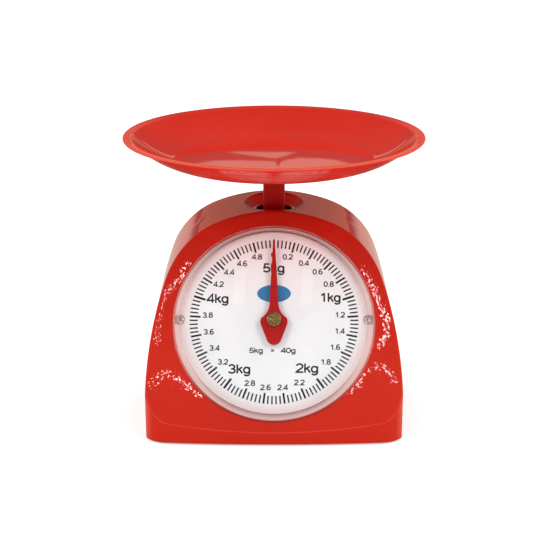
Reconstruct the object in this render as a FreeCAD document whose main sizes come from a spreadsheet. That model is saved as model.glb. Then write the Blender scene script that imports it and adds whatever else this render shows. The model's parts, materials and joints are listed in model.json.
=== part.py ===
import FreeCAD, Part
import math
import os
import Sketcher
from FreeCAD import Vector, Rotation, Placement

# Mechanical kitchen scale, 5 kg, with a dished tray and a leaning round dial.
# Millimetres, +Z up, the front faces -Y.  The origin is the point on the table
# under the centre of the tray.

doc = FreeCAD.newDocument("KitchenScale")
sheet = doc.addObject("Spreadsheet::Sheet", "Dims")


class Num:
    """A size: its number, and the expression on the sheet that gives it."""

    def __init__(self, value, text):
        self.v = float(value)
        self.e = text

    def __add__(self, o):
        o = num(o)
        return Num(self.v + o.v, "(%s + %s)" % (self.e, o.e))

    def __sub__(self, o):
        o = num(o)
        return Num(self.v - o.v, "(%s - %s)" % (self.e, o.e))

    def __mul__(self, o):
        o = num(o)
        return Num(self.v * o.v, "(%s * %s)" % (self.e, o.e))

    def __truediv__(self, o):
        o = num(o)
        return Num(self.v / o.v, "(%s / %s)" % (self.e, o.e))

    def __radd__(self, o):
        return num(o) + self

    def __rsub__(self, o):
        return num(o) - self

    def __rmul__(self, o):
        return num(o) * self

    def __neg__(self):
        return Num(-self.v, "(0 - %s)" % self.e)


def num(x):
    if isinstance(x, Num):
        return x
    x = float(x)
    return Num(x, repr(x) if x >= 0 else "(0 - %r)" % -x)


def nsin(a):
    return Num(math.sin(math.radians(a.v)), "sin(%s)" % a.e)


def ncos(a):
    return Num(math.cos(math.radians(a.v)), "cos(%s)" % a.e)


class Sizes:
    pass


S = Sizes()
ROWS = [
    # housing
    ("house_bottom", 1.0), ("crease_height", 9.2), ("front_reach", 100.5),
    ("face_tilt", 31.56), ("top_height", 141.7), ("rear_top", 43.5), ("rear_bottom", 52.0),
    ("arch_top_radius", 115.0), ("arch_shoulder_radius", 58.0), ("arch_side_radius", 205.0),
    ("arch_top_angle", 21.4), ("arch_shoulder_angle", 70.0), ("rear_scale", 0.966),
    ("plan_bulge_radius", 790.0), ("plan_corner_radius", 17.0), ("plan_half_width", 87.9),
    ("plan_rear_radius", 12.0), ("wall", 2.5), ("face_edge_radius", 2.0), ("rear_edge_radius", 1.0),
    # dial opening and collar
    ("opening_y", -60.7), ("opening_z", 74.0), ("ledge_radius", 69.2), ("hole_radius", 67.4),
    ("collar_radius", 71.7), ("ledge_depth", 1.8),
    ("dial_depth", 7.0), ("dial_offset", 2.7), ("dial_radius", 68.4), ("dial_thick", 1.2),
    ("dial_screw_reach", 64.4), ("dial_screw_rise", 1.0),
    # well in the top
    ("pit_half_width", 23.3), ("pit_half_length", 26.5), ("pit_centre_y", 11.5),
    ("slot_half_width", 12.3), ("slot_front_y", -13.0), ("slot_rear_y", 19.6),
    ("slot_radius", 8.0), ("pit_floor_height", 136.7),
    # tray
    ("tray_radius", 105.0), ("tray_rim_height", 191.3), ("tray_floor_height", 175.0),
    ("tray_floor_radius", 69.5), ("tray_thick", 2.2), ("lip_inner_radius", 97.8),
    ("socket_width", 20.4), ("socket_depth", 13.0),
    # post
    ("post_width", 15.2), ("post_length", 14.0), ("post_corner", 3.5), ("post_bottom", 124.0),
    # mechanism
    ("arm_length", 44.0), ("arm_rise", 5.355), ("upper_pivot_z", 100.0), ("lower_pivot_z", 35.0),
    ("pivot_y", 36.0), ("carrier_pin_y", -8.0), ("pin_radius", 1.5), ("bore_clearance", 0.05),
    ("pinion_radius", 2.0), ("shaft_radius", 1.0), ("bush_radius", 2.6),
    ("frame_depth", 17.5), ("frame_half_width", 7.6), ("frame_half_height", 17.5),
    ("sheet_metal", 1.5), ("rack_width", 3.6), ("rack_thick", 3.0), ("rack_top", 38.0),
    ("rack_bottom", -21.0), ("rack_pin_at", 34.0), ("rack_pin_radius", 0.9), ("rack_depth", 10.0),
    ("spring_x", 30.0), ("hanger_z", 118.0), ("crossbar_z", 50.0),
    ("wheel_radius", 12.0), ("wheel_y", 34.0), ("wheel_bottom", 108.3), ("wheel_thick", 4.2),
    ("base_plate_bottom", 1.6), ("base_plate_thick", 2.6), ("foot_radius", 7.0),
    ("tooth_module", 0.4), ("tooth_count", 10),
]
for i, (alias, value) in enumerate(ROWS):
    sheet.set("A%d" % (i + 1), alias.replace("_", " "))
    sheet.set("B%d" % (i + 1), str(value))
    sheet.setAlias("B%d" % (i + 1), alias)
    setattr(S, alias, Num(value, "Dims.%s" % alias))
doc.recompute()

tilt = S.face_tilt
sin_t, cos_t = nsin(tilt), ncos(tilt)
tan_t = sin_t / cos_t


def bind(obj, prop, n):
    """Ties a property of an object to the sheet."""
    obj.setExpression(prop, num(n).e)


def place(obj, x=0, y=0, z=0, axis=(1, 0, 0), angle=None):
    """Puts an object somewhere, with every coordinate tied to the sheet."""
    x, y, z = num(x), num(y), num(z)
    ang = num(angle) if angle is not None else None
    obj.Placement = Placement(Vector(x.v, y.v, z.v),
                              Rotation(Vector(*axis), ang.v if ang else 0))
    bind(obj, "Placement.Base.x", x)
    bind(obj, "Placement.Base.y", y)
    bind(obj, "Placement.Base.z", z)
    if ang is not None and isinstance(angle, Num):
        bind(obj, "Placement.Rotation.Angle", ang)
    return obj


# The dial frame: its origin lies on the pointer's axis in the dial's front face,
# x to the right, y up along the dial, z out of the dial.
dial_y = S.opening_y + S.dial_offset * sin_t + S.dial_depth * cos_t
dial_z = S.opening_z + S.dial_offset * cos_t - S.dial_depth * sin_t
DIAL_TURN = 90 - tilt


count = [0]


def fresh(stem):
    count[0] += 1
    return "%s_%d" % (stem, count[0])


def carrier_of(obj):
    """A primitive keeps its own place inside a compound, and the compound is moved."""
    if obj.TypeId in ("Part::Box", "Part::Cylinder"):
        c = doc.addObject("Part::Compound", fresh("Moved"))
        c.Links = [obj]
        return c
    return obj


def on_dial(obj):
    return place(carrier_of(obj), 0, dial_y, dial_z, (1, 0, 0), DIAL_TURN)


def on_opening(obj):
    return place(carrier_of(obj), 0, S.opening_y, S.opening_z, (1, 0, 0), DIAL_TURN)


def box(x0, x1, y0, y1, z0, z1, name=None):
    x0, x1, y0, y1, z0, z1 = [num(v) for v in (x0, x1, y0, y1, z0, z1)]
    o = doc.addObject("Part::Box", name or fresh("Block"))
    for prop, n in (("Length", x1 - x0), ("Width", y1 - y0), ("Height", z1 - z0)):
        setattr(o, prop, n.v)
        bind(o, prop, n)
    return place(o, x0, y0, z0)


def rod(radius, length, x=0, y=0, z=0, axis=None, angle=None, name=None):
    o = doc.addObject("Part::Cylinder", name or fresh("Rod"))
    for prop, n in (("Radius", num(radius)), ("Height", num(length))):
        setattr(o, prop, n.v)
        bind(o, prop, n)
    return place(o, x, y, z, axis or (1, 0, 0), angle if angle is not None else 0)


def rod_x(radius, x0, x1, y, z, name=None):
    """A round bar lying along X."""
    return rod(radius, num(x1) - num(x0), x0, y, z, (0, 1, 0), 90, name)


def fuse(parts, name=None):
    if len(parts) == 1:
        return parts[0]
    o = doc.addObject("Part::MultiFuse", name or fresh("Joined"))
    o.Shapes = parts
    return o


def cut(base, tools, name=None):
    tool = fuse(tools) if len(tools) > 1 else tools[0]
    o = doc.addObject("Part::Cut", name or fresh("Cut"))
    o.Base = base
    o.Tool = tool
    return o


def common(parts, name=None):
    o = doc.addObject("Part::MultiCommon", name or fresh("Shared"))
    o.Shapes = parts
    return o


def sketch(body, name, role, verts, arcs=None, offset=None):
    """A closed outline of lines and arcs.  verts are corner points, arcs maps the
    number of a side to its radius and the side its centre lies on (+1 is left)."""
    arcs = arcs or {}
    sk = body.newObject("Sketcher::SketchObject", name)
    plane = [f for f in body.Origin.OriginFeatures if f.Role == role][0]
    sk.AttachmentSupport = [(plane, "")]
    sk.MapMode = "FlatFace"
    if offset is not None:
        off = num(offset)
        sk.AttachmentOffset = Placement(Vector(0, 0, off.v), Rotation())
        bind(sk, "AttachmentOffset.Base.z", off)
    pts = [(num(a), num(b)) for a, b in verts]
    n = len(pts)
    ends = []
    for i in range(n):
        a, b = pts[i], pts[(i + 1) % n]
        va, vb = Vector(a[0].v, a[1].v, 0), Vector(b[0].v, b[1].v, 0)
        if i in arcs:
            r, side = num(arcs[i][0]), arcs[i][1]
            mid = (va + vb) * 0.5
            d = vb - va
            h = math.sqrt(max(r.v ** 2 - (d.Length / 2) ** 2, 0))
            left = Vector(-d.y, d.x, 0)
            left.normalize()
            c = mid + left * (h * side)
            circle = Part.Circle(c, Vector(0, 0, 1), r.v)
            if side > 0:
                p, q, ends_i = va, vb, (1, 2)
            else:
                p, q, ends_i = vb, va, (2, 1)
            a1 = math.atan2(p.y - c.y, p.x - c.x)
            a2 = math.atan2(q.y - c.y, q.x - c.x)
            if a2 <= a1:
                a2 += 2 * math.pi
            sk.addGeometry(Part.ArcOfCircle(circle, a1, a2), False)
            ends.append(ends_i)
        else:
            sk.addGeometry(Part.LineSegment(va, vb), False)
            ends.append((1, 2))
    for i in range(n):
        sk.addConstraint(Sketcher.Constraint("Coincident", i, ends[i][1],
                                             (i + 1) % n, ends[(i + 1) % n][0]))
    for i in range(n):
        for kind, k in (("DistanceX", 0), ("DistanceY", 1)):
            val = pts[i][k]
            c = sk.addConstraint(Sketcher.Constraint(kind, -1, 1, i, ends[i][0], val.v))
            if "Dims" in val.e:
                sk.setExpression("Constraints[%d]" % c, val.e)
        if i in arcs:
            r = num(arcs[i][0])
            c = sk.addConstraint(Sketcher.Constraint("Radius", i, r.v))
            if "Dims" in r.e:
                sk.setExpression("Constraints[%d]" % c, r.e)
    return sk


def new_body(name):
    return doc.addObject("PartDesign::Body", name)


def pad(name, role, verts, arcs=None, length=1.0, offset=None, symmetric=False, reverse=False):
    """A body made by padding one outline."""
    body = new_body(name)
    sk = sketch(body, name + "_outline", role, verts, arcs, offset)
    p = body.newObject("PartDesign::Pad", name + "_pad")
    p.Profile = sk
    p.Length = num(length).v
    bind(p, "Length", length)
    p.Midplane = symmetric
    p.Reversed = reverse
    body.Tip = p
    return body


def turned(name, verts, arcs=None):
    """A body of revolution about its own Z axis.  verts are (radius, height)."""
    body = new_body(name)
    sk = sketch(body, name + "_section", "XZ_Plane", verts, arcs)
    r = body.newObject("PartDesign::Revolution", name + "_turn")
    r.Profile = sk
    r.ReferenceAxis = (sk, ["V_Axis"])
    r.Angle = 360
    body.Tip = r
    return body


NODES = {}


def node(name, obj):
    """Names a finished piece."""
    obj.Label = name
    NODES[name] = obj
    return obj


# ---------------------------------------------------------------- housing

def arch(body, name, scale, inset, at, low):
    """The housing's outline seen from the front: upright sides that curve in
    through a shoulder to a gently crowned top."""
    big = S.arch_top_radius * scale - inset
    mid = S.arch_shoulder_radius * scale - inset
    side = S.arch_side_radius * scale - inset
    a1, a2 = S.arch_top_angle, S.arch_shoulder_angle
    top = S.top_height - inset
    x1 = big * nsin(a1)
    z1 = top - big * (1 - ncos(a1))
    x2 = x1 + mid * (nsin(a2) - nsin(a1))
    z2 = z1 - mid * (ncos(a1) - ncos(a2))
    x3 = x2 + side * (1 - nsin(a2))
    z3 = z2 - side * ncos(a2)
    foot = x3 - 0.6
    verts = [(foot, low), (x3, z3), (x2, z2), (x1, z1), (-x1, z1), (-x2, z2), (-x3, z3), (-foot, low)]
    arcs = {1: (side, 1), 2: (mid, 1), 3: (big, 1), 4: (mid, 1), 5: (side, 1)}
    return sketch(body, name, "XZ_Plane", verts, arcs, at)


def envelope(tag, inset, low):
    body = new_body(tag + "_arch")
    s1 = arch(body, tag + "_front_outline", num(1), inset, num(108), low)
    s2 = arch(body, tag + "_rear_outline", S.rear_scale, inset, num(-60), low)
    loft = body.newObject("PartDesign::AdditiveLoft", tag + "_loft")
    loft.Profile = s1
    loft.Sections = [s2]
    loft.Ruled = True
    body.Tip = loft
    ins = num(inset)
    lo, hi = num(-10), num(165)
    shift = ins / cos_t
    slope = (S.rear_bottom - S.rear_top) / (S.top_height - S.house_bottom)

    def face_at(z):
        return (z - S.crease_height) * tan_t - S.front_reach + shift

    def rear_at(z):
        return S.rear_bottom - (z - S.house_bottom) * slope - ins

    side = pad(tag + "_side", "YZ_Plane",
               [(face_at(lo), lo), (rear_at(lo), lo), (rear_at(hi), hi), (face_at(hi), hi)],
               None, 240, None, True)
    w = S.plan_half_width - ins
    rc = S.plan_corner_radius - ins
    rr = S.plan_rear_radius - ins
    bulge = S.plan_bulge_radius - ins
    fx = w - rc
    # the front runs on an arc whose middle is the foremost point
    drop = Num(bulge.v - math.sqrt(bulge.v ** 2 - fx.v ** 2),
               "(%s - sqrt(%s ^ 2 - %s ^ 2))" % (bulge.e, bulge.e, fx.e))
    fy = drop - S.front_reach + ins
    ry = S.rear_bottom + 1 - ins
    plan = pad(tag + "_plan", "XY_Plane",
               [(-fx, fy), (fx, fy), (w, fy + rc), (w, ry - rr), (w - rr, ry),
                (-(w - rr), ry), (-w, ry - rr), (-w, fy + rc)],
               {0: (bulge, 1), 1: (rc, 1), 3: (rr, 1), 5: (rr, 1), 7: (rc, 1)},
               200, num(-8))
    return common([body, side, plan], tag + "_envelope")


outer = envelope("outer", num(0), S.house_bottom)
inner = envelope("inner", S.wall, num(-6))
doc.recompute()


def rounded(base, name, groups):
    """Rounds edges of a solid, group by group; each group is a radius and a test."""
    obj = doc.addObject("Part::Fillet", name)
    obj.Base = base
    picks = []
    for r, test in groups:
        for i, e in enumerate(base.Shape.Edges):
            m = e.valueAt((e.FirstParameter + e.LastParameter) / 2)
            if test(e, m):
                picks.append((i + 1, r.v, r.v))
    obj.Edges = picks
    return obj


def on_face_plane(p):
    return abs(p.y - ((p.z - S.crease_height.v) * tan_t.v - S.front_reach.v)) < 0.05


def on_rear_plane(p):
    slope = (S.rear_bottom.v - S.rear_top.v) / (S.top_height.v - S.house_bottom.v)
    return abs(p.y - (S.rear_bottom.v - (p.z - S.house_bottom.v) * slope)) < 0.05


face_round = rounded(outer, "face_edge_rounded", [(S.face_edge_radius, lambda e, m: on_face_plane(m))])
doc.recompute()
outer_round = rounded(face_round, "rear_edge_rounded",
                      [(S.rear_edge_radius, lambda e, m: on_rear_plane(m) and m.z > 3 and not on_face_plane(m))])
doc.recompute()
if outer_round.Shape.isNull() or not outer_round.Shape.isValid():
    print("edge rounding failed; state", outer_round.State)

# inner features that stay standing in the cavity
collar = cut(rod(S.collar_radius, 11, 0, 0, -11, name="collar_outside"),
             [fuse([rod(S.ledge_radius, 6.2, 0, 0, -11.2), rod(S.hole_radius, 12, 0, 0, -11.5)])], "collar")
on_opening(collar)


def dial_boss(sgn):
    x = S.dial_screw_reach * sgn
    wall_x = num(86.0 * sgn)
    lo, hi = (x, wall_x) if sgn > 0 else (wall_x, x)
    b = cut(fuse([rod(4.4, 8.2, x, S.dial_screw_rise, -11),
                  box(lo, hi, S.dial_screw_rise - 1.5, S.dial_screw_rise + 1.5, -11, -3.6)]),
            [rod(1.2, 9, x, S.dial_screw_rise, -10.0)])
    return on_dial(b)


def base_boss(x, y):
    sgn = 1 if x > 0 else -1
    lo, hi = (x, 90 * sgn) if sgn > 0 else (90 * sgn, x)
    return cut(fuse([rod(4.0, 25, x, y, 5.5), box(lo, hi, y - 1, y + 1, 6.0, 30.0)]),
               [rod(1.3, 20, x, y, 3)])


BASE_SCREWS = [(74, -58), (-74, -58), (72, 40), (-72, 40)]


def ellipse_wire(rx, ry, y, z, name):
    o = doc.addObject("Part::Ellipse", name)
    rx, ry = num(rx), num(ry)
    if ry.v >= rx.v:
        o.MajorRadius, o.MinorRadius = ry.v, rx.v
        bind(o, "MajorRadius", ry)
        bind(o, "MinorRadius", rx)
        place(o, 0, y, z, (0, 0, 1), 90)
    else:
        o.MajorRadius, o.MinorRadius = rx.v, ry.v
        bind(o, "MajorRadius", rx)
        bind(o, "MinorRadius", ry)
        place(o, 0, y, z)
    return o


def dish(tag, grow, floor_drop):
    """A shallow oval dish sunk in the top."""
    g = num(grow)
    top = ellipse_wire(S.pit_half_width + 1.6 + g, S.pit_half_length + 1.4 + g, S.pit_centre_y, 144.5, tag + "_top")
    mid = ellipse_wire(S.pit_half_width - 0.5 + g, S.pit_half_length - 0.6 + g, S.pit_centre_y, 140.3, tag + "_mid")
    low = ellipse_wire(S.slot_half_width + 3.4 + g, 19.0 + g, S.pit_centre_y - 6.5, S.pit_floor_height - floor_drop, tag + "_low")
    o = doc.addObject("Part::Loft", tag + "_dish")
    o.Sections = [top, mid, low]
    o.Solid = True
    o.Ruled = True
    return o


pit = dish("pit", 0, num(0))
pit_block = dish("pit_block", 2.2, num(2.2))
slot_mid = (S.slot_front_y + S.slot_rear_y) / 2
hw, r8 = S.slot_half_width, S.slot_radius
slot = pad("top_slot", "XY_Plane",
           [(-(hw - r8), S.slot_front_y), (hw - r8, S.slot_front_y), (hw, S.slot_front_y + r8),
            (hw, S.slot_rear_y - r8), (hw - r8, S.slot_rear_y), (-(hw - r8), S.slot_rear_y),
            (-hw, S.slot_rear_y - r8), (-hw, S.slot_front_y + r8)],
           {1: (r8, 1), 3: (r8, 1), 5: (r8, 1), 7: (r8, 1)}, 20, num(128))

cavity = cut(inner, [collar, dial_boss(1), dial_boss(-1), pit_block] +
             [base_boss(x, y) for x, y in BASE_SCREWS], "cavity")
ledge_cut = on_opening(rod(S.ledge_radius, 10, 0, 0, -S.ledge_depth, name="ledge_recess"))
hole_cut = on_opening(rod(S.hole_radius, 8, 0, 0, -5.3, name="dial_hole"))
wheel_slot = box(-12.2, 12.2, 38.0, 56, S.wheel_bottom - 1.0, S.wheel_bottom + S.wheel_thick + 1.0, "wheel_slot")
housing = outer_round
for tool in (cavity, slot, pit, ledge_cut, hole_cut, wheel_slot):
    housing = cut(housing, [tool], fresh("housing_step"))
node("housing_shell", housing)

# ---------------------------------------------------------------- base plate and feet

zb, tb = S.base_plate_bottom, S.base_plate_thick
gap = S.wall + 0.35
bw = S.plan_half_width - gap - 1.5
bfx = bw - (S.plan_corner_radius - gap)
bbul = S.plan_bulge_radius - gap
bdrop = Num(bbul.v - math.sqrt(bbul.v ** 2 - bfx.v ** 2),
            "(%s - sqrt(%s ^ 2 - %s ^ 2))" % (bbul.e, bbul.e, bfx.e))
brc = S.plan_corner_radius - gap
brr = S.plan_rear_radius - gap
bfy = bdrop - S.front_reach + gap + 0.2
bry = S.rear_bottom - gap - 0.2
bw2 = bw - 2.6
plate = pad("base_slab", "XY_Plane",
            [(-bfx, bfy), (bfx, bfy), (bw, bfy + brc), (bw2, bry - brr), (bw2 - brr, bry),
             (-(bw2 - brr), bry), (-bw2, bry - brr), (-bw, bfy + brc)],
            {0: (bbul, 1), 1: (brc, 1), 3: (brr, 1), 5: (brr, 1), 7: (brc, 1)}, tb, zb)
FEET = [(66, -80), (-66, -80), (62, 30), (-62, 30)]
ribs = [box(-60, 60, -72, -70.5, zb + 1, zb + tb + 4), box(-60, 60, -20, -18.5, zb + 1, zb + tb + 4),
        box(-48, -46.5, -76, 40, zb + 1, zb + tb + 4), box(46.5, 48, -76, 40, zb + 1, zb + tb + 4)]
pads_up = [rod(S.foot_radius + 2.0, 3.4, x, y, zb + 0.6) for x, y in FEET]
recess = [rod(S.foot_radius + 0.1, 2.0, x, y, zb - 0.6) for x, y in FEET]
screw_pads = [rod(5.6, 3.6, x, y, zb + 0.2) for x, y in BASE_SCREWS]
screw_holes = [rod(1.75, 20, x, y, -1) for x, y in BASE_SCREWS] + \
              [rod(3.9, 3.0, x, y, zb - 1.2) for x, y in BASE_SCREWS]
FRAME_SCREWS = [(30, 25), (-30, 25), (30, 38), (-30, 38)]
frame_holes = [rod(1.1, 8, x, y, -1 + 1.9) for x, y in FRAME_SCREWS]
base = cut(fuse([plate] + ribs + pads_up + screw_pads), recess + screw_holes + frame_holes, "base_plate_cut")
node("base_plate", base)


def group(name, shapes):
    """Identical pieces that share one node, each a solid of its own."""
    o = doc.addObject("Part::Feature", name + "_group")
    o.Shape = Part.makeCompound(shapes)
    return node(name, o)


def copies(shape, places):
    out = []
    for pl in places:
        s = shape.copy()
        s.Placement = pl.multiply(s.Placement)
        out.append(s)
    return out


foot_r = S.foot_radius
foot = turned("foot_proto", [(0, 0.35), (2.2, 0.35), (2.8, 0), (foot_r - 0.6, 0), (foot_r, 0.6),
                             (foot_r, zb + 1.35), (0, zb + 1.35)])


def screw_proto(name, head_r, head_h, shank_r, length, cross):
    """A pan head screw, its head's underside at z = 0, its shank pointing down."""
    b = turned(name, [(0, -length), (shank_r - 0.35, -length), (shank_r, -length + 0.5), (shank_r, 0),
                      (head_r, 0), (head_r, head_h * 0.45), (head_r * 0.55, head_h), (0, head_h)],
               {5: (head_r * 0.95, 1)})
    for i, (a, c) in enumerate(((cross, 0.42), (0.42, cross))):
        sk = sketch(b, "%s_cross_%d" % (name, i), "XY_Plane",
                    [(-a, -c), (a, -c), (a, c), (-a, c)], None, num(head_h))
        p = b.newObject("PartDesign::Pocket", "%s_pocket_%d" % (name, i))
        p.Profile = sk
        p.Length = head_h * 0.7
        b.Tip = p
    return b


base_screw = screw_proto("base_screw_proto", 3.3, 1.6, 1.28, 13.0, 1.9)
dial_screw = screw_proto("dial_screw_proto", 3.3, 1.9, 1.15, 7.5, 1.8)
frame_screw = screw_proto("frame_screw_proto", 2.8, 1.5, 1.05, 4.0, 1.5)
doc.recompute()
flip = Rotation(Vector(1, 0, 0), 180)
head_seat = zb.v + 1.8
group("base_screws", copies(base_screw.Shape,
      [Placement(Vector(x, y, head_seat - 0.02), flip) for x, y in BASE_SCREWS]))
group("rubber_feet", copies(foot.Shape, [Placement(Vector(x, y, 0), Rotation()) for x, y in FEET]))

# ---------------------------------------------------------------- lens, dial, movement frame

lens = turned("lens_body", [
    (0, 4.6), (15, 4.43), (30, 3.92), (45, 3.08), (63.4, 1.6), (66.2, -1.3), (66.6, -1.75),
    (S.ledge_radius - 0.3, -1.75), (S.ledge_radius - 0.3, -0.2), (68.4, 0.1), (67.8, 0.15), (65.1, 2.7),
    (64.2, 3.2), (45, 4.83), (30, 5.7), (15, 6.22), (0, 6.4)])
on_opening(lens)
node("lens", lens)

dd = S.dial_radius
dial = cut(rod(dd, S.dial_thick, 0, -S.dial_offset, -S.dial_thick, name="dial_disc"),
           [rod(4.0, 4, 0, 0, -2)] +
           [rod(1.4, 4, S.dial_screw_reach * s_, S.dial_screw_rise, -2) for s_ in (1, -1)], "dial_plate_cut")
node("dial_plate", on_dial(dial))

t15 = S.sheet_metal
f_front = -(S.dial_thick + 0.1)
f_back = -S.frame_depth
fw, fh = S.frame_half_width, S.frame_half_height
strap = box(-66.2, 66.2, -8, 10, f_front - t15, f_front)
top_leg = box(-fw, fw, fh - t15, fh, f_back, f_front - 0.1)
low_leg = box(-fw, fw, -fh, -(fh - t15), f_back, f_front - 0.1)
front_web = box(-fw, fw, -fh, fh, f_front - t15, f_front)
rear_web = box(-fw, fw, -fh, fh, f_back, f_back + t15)
rack_x0 = S.pinion_radius + 0.15
rack_c = -S.rack_depth
leg_slot = box(S.pinion_radius - 0.6, rack_x0 + S.rack_width + 0.55, -fh - 1, fh + 1,
               rack_c - S.rack_thick / 2 - 0.3, rack_c + S.rack_thick / 2 + 0.3)
mov = cut(fuse([strap, top_leg, low_leg, front_web, rear_web]),
          [leg_slot, rod(S.bush_radius, 30, 0, 0, -25)] +
          [rod(1.3, 6, S.dial_screw_reach * s_, S.dial_screw_rise, -5) for s_ in (1, -1)], "movement_frame_cut")
node("movement_frame", on_dial(mov))

bore = S.shaft_radius + S.bore_clearance
for nm, c0, flange in (("front_bush", f_front - t15, -1), ("rear_bush", f_back, -1)):
    b = turned(nm + "_body", [(bore, 0), (S.bush_radius, 0), (S.bush_radius, -t15 - 0.0), (S.bush_radius + 1.2, -t15),
                              (S.bush_radius + 1.2, -t15 - 0.8), (bore, -t15 - 0.8)])
    # the flange bears on the inner side of its plate at the front, on the outer side at the rear
    place(b, 0, dial_y - (c0 + t15) * cos_t, dial_z + (c0 + t15) * sin_t, (1, 0, 0), DIAL_TURN)
    node(nm, b)

doc.recompute()
DIAL_PL = Placement(Vector(0, dial_y.v, dial_z.v), Rotation(Vector(1, 0, 0), DIAL_TURN.v))
group("dial_screws", copies(dial_screw.Shape, [
    DIAL_PL.multiply(Placement(Vector(S.dial_screw_reach.v * s_, S.dial_screw_rise.v, 0.02), Rotation(Vector(0, 0, 1), 20 * s_)))
    for s_ in (1, -1)]))

# ---------------------------------------------------------------- pointer on its shaft

shaft = turned("shaft_body", [(0, -20.0), (S.shaft_radius, -20.0), (S.shaft_radius, 7.0), (0, 7.0)])
node("pointer_shaft", on_dial(shaft))
hub = turned("hub_body", [(S.shaft_radius, 3.0), (2.2, 3.0), (2.2, 4.6), (4.95, 4.6), (4.95, 6.6), (4.3, 7.3),
                          (2.9, 7.3), (2.5, 7.7), (1.4, 8.0), (0, 8.0), (0, 7.0), (S.shaft_radius, 7.0)])
node("pointer_hub", on_dial(hub))
arrow = pad("pointer_plate", "XY_Plane", [
    (0.55, 57.2), (-0.55, 57.2), (-2.3, 26.0), (-2.9, 12.0), (-3.5, 8.6), (-8.7, 1.4),
    (-8.9, -3.4), (-4.6, -14.6), (4.6, -14.6), (8.9, -3.4), (8.7, 1.4), (3.5, 8.6), (2.9, 12.0), (2.3, 26.0)],
    {4: (12.0, -1), 5: (6.0, 1), 7: (5.2, 1), 9: (6.0, 1), 10: (12.0, -1)}, 1.3, num(3.1))
arrow_cut = cut(arrow, [rod(2.2, 6, 0, 0, 1)], "pointer_cut")
node("pointer", on_dial(arrow_cut))

# pinion and rack: straight-flanked teeth of the same module, thinned for backlash
mod, teeth = S.tooth_module.v, int(S.tooth_count.v)


def pinion_shape():
    rp = mod * teeth / 2.0
    ra, rf = rp + 0.85 * mod, rp - 1.15 * mod
    pts = []
    for k in range(teeth):
        mid = 2 * math.pi * (k + 0.5) / teeth
        for r, w in ((rf, 0.66), (rp, 0.42), (ra, 0.16)):
            pts.append((r, mid - w * math.pi / teeth))
        for r, w in ((ra, 0.16), (rp, 0.42), (rf, 0.66)):
            pts.append((r, mid + w * math.pi / teeth))
    ring = [Vector(r * math.cos(a), r * math.sin(a), 0) for r, a in pts]
    face = Part.Face(Part.makePolygon(ring + [ring[0]]))
    solid = face.extrude(Vector(0, 0, S.rack_thick.v + 1.6))
    hole = Part.makeCylinder(S.shaft_radius.v, 12, Vector(0, 0, -1))
    hubc = Part.makeCylinder(1.45, S.rack_thick.v + 3.0, Vector(0, 0, -0.7))
    return solid.fuse(hubc).cut(hole).removeSplitter()


pin = doc.addObject("Part::Feature", "pinion_shape")
pin.Shape = pinion_shape()
pin.Placement = DIAL_PL.multiply(Placement(Vector(0, 0, rack_c.v - S.rack_thick.v / 2 - 0.8), Rotation()))
node("pinion", pin)


def rack_shape():
    pitch = math.pi * mod
    xp = S.pinion_radius.v
    lo, hi = S.rack_bottom.v, S.rack_top.v
    add, ded = 0.85 * mod, 1.15 * mod
    k0, k1 = -3, 13
    pts = [(xp + ded, lo)]
    for k in range(k0, k1 + 1):
        c = k * pitch
        pts += [(xp + ded, c - 0.33 * pitch), (xp, c - 0.21 * pitch), (xp - add, c - 0.08 * pitch),
                (xp - add, c + 0.08 * pitch), (xp, c + 0.21 * pitch), (xp + ded, c + 0.33 * pitch)]
    pts += [(xp + ded, hi), (rack_x0.v + S.rack_width.v, hi), (rack_x0.v + S.rack_width.v, lo)]
    ring = [Vector(x, y, 0) for x, y in pts]
    face = Part.Face(Part.makePolygon(ring + [ring[0]]))
    bar = face.extrude(Vector(0, 0, S.rack_thick.v))
    eye = Part.makeCylinder(S.rack_pin_radius.v, 40, Vector(-5, S.rack_pin_at.v, S.rack_thick.v / 2), Vector(1, 0, 0))
    return bar.cut(eye)


rk = doc.addObject("Part::Feature", "rack_shape")
rk.Shape = rack_shape()
rk.Placement = DIAL_PL.multiply(Placement(Vector(0, 0, rack_c.v - S.rack_thick.v / 2), Rotation()))
node("rack", rk)

pin_y = dial_y + S.rack_pin_at * sin_t - rack_c * cos_t
pin_z = dial_z + S.rack_pin_at * cos_t + rack_c * sin_t
driver_x = num(8.6)
rack_pin = fuse([rod_x(S.rack_pin_radius, S.pinion_radius + S.tooth_module * 1.2, driver_x + 2.6, pin_y, pin_z),
                 rod_x(1.9, driver_x + 1.8, driver_x + 2.6, pin_y, pin_z)], "rack_pin_joined")
node("rack_pin", rack_pin)

# ---------------------------------------------------------------- main frame (fixed)

zf0 = zb + tb
cheek0, cheek1 = 19.5, 21.0
cheeks = [box(cheek0, cheek1, 27, 42, zf0, 107), box(-cheek1, -cheek0, 27, 42, zf0, 107)]
flanges = [box(19.5, 36, 20, 42, zf0, zf0 + 1.5), box(-36, -19.5, 20, 42, zf0, zf0 + 1.5)]
back = box(-21, 21, 40.5, 42, zf0, 96)
bridge = box(-21, 21, 27, 42, 105.5, 107)
pivots = [rod_x(S.pin_radius + S.bore_clearance, -30, 30, S.pivot_y, z) for z in (S.upper_pivot_z, S.lower_pivot_z)]
window = box(-12, 12, 40, 43, 20, 80)
mf = cut(fuse(cheeks + flanges + [back, bridge]),
         pivots + [window, rod(2.05, 8, 0, S.wheel_y, 103)] + [rod(1.3, 6, x, y, zf0 - 2) for x, y in FRAME_SCREWS],
         "main_frame_cut")
node("main_frame", mf)
doc.recompute()
group("frame_screws", copies(frame_screw.Shape, [
    Placement(Vector(x, y, zf0.v + 1.52), Rotation()) for x, y in FRAME_SCREWS]))
fp = []
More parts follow.
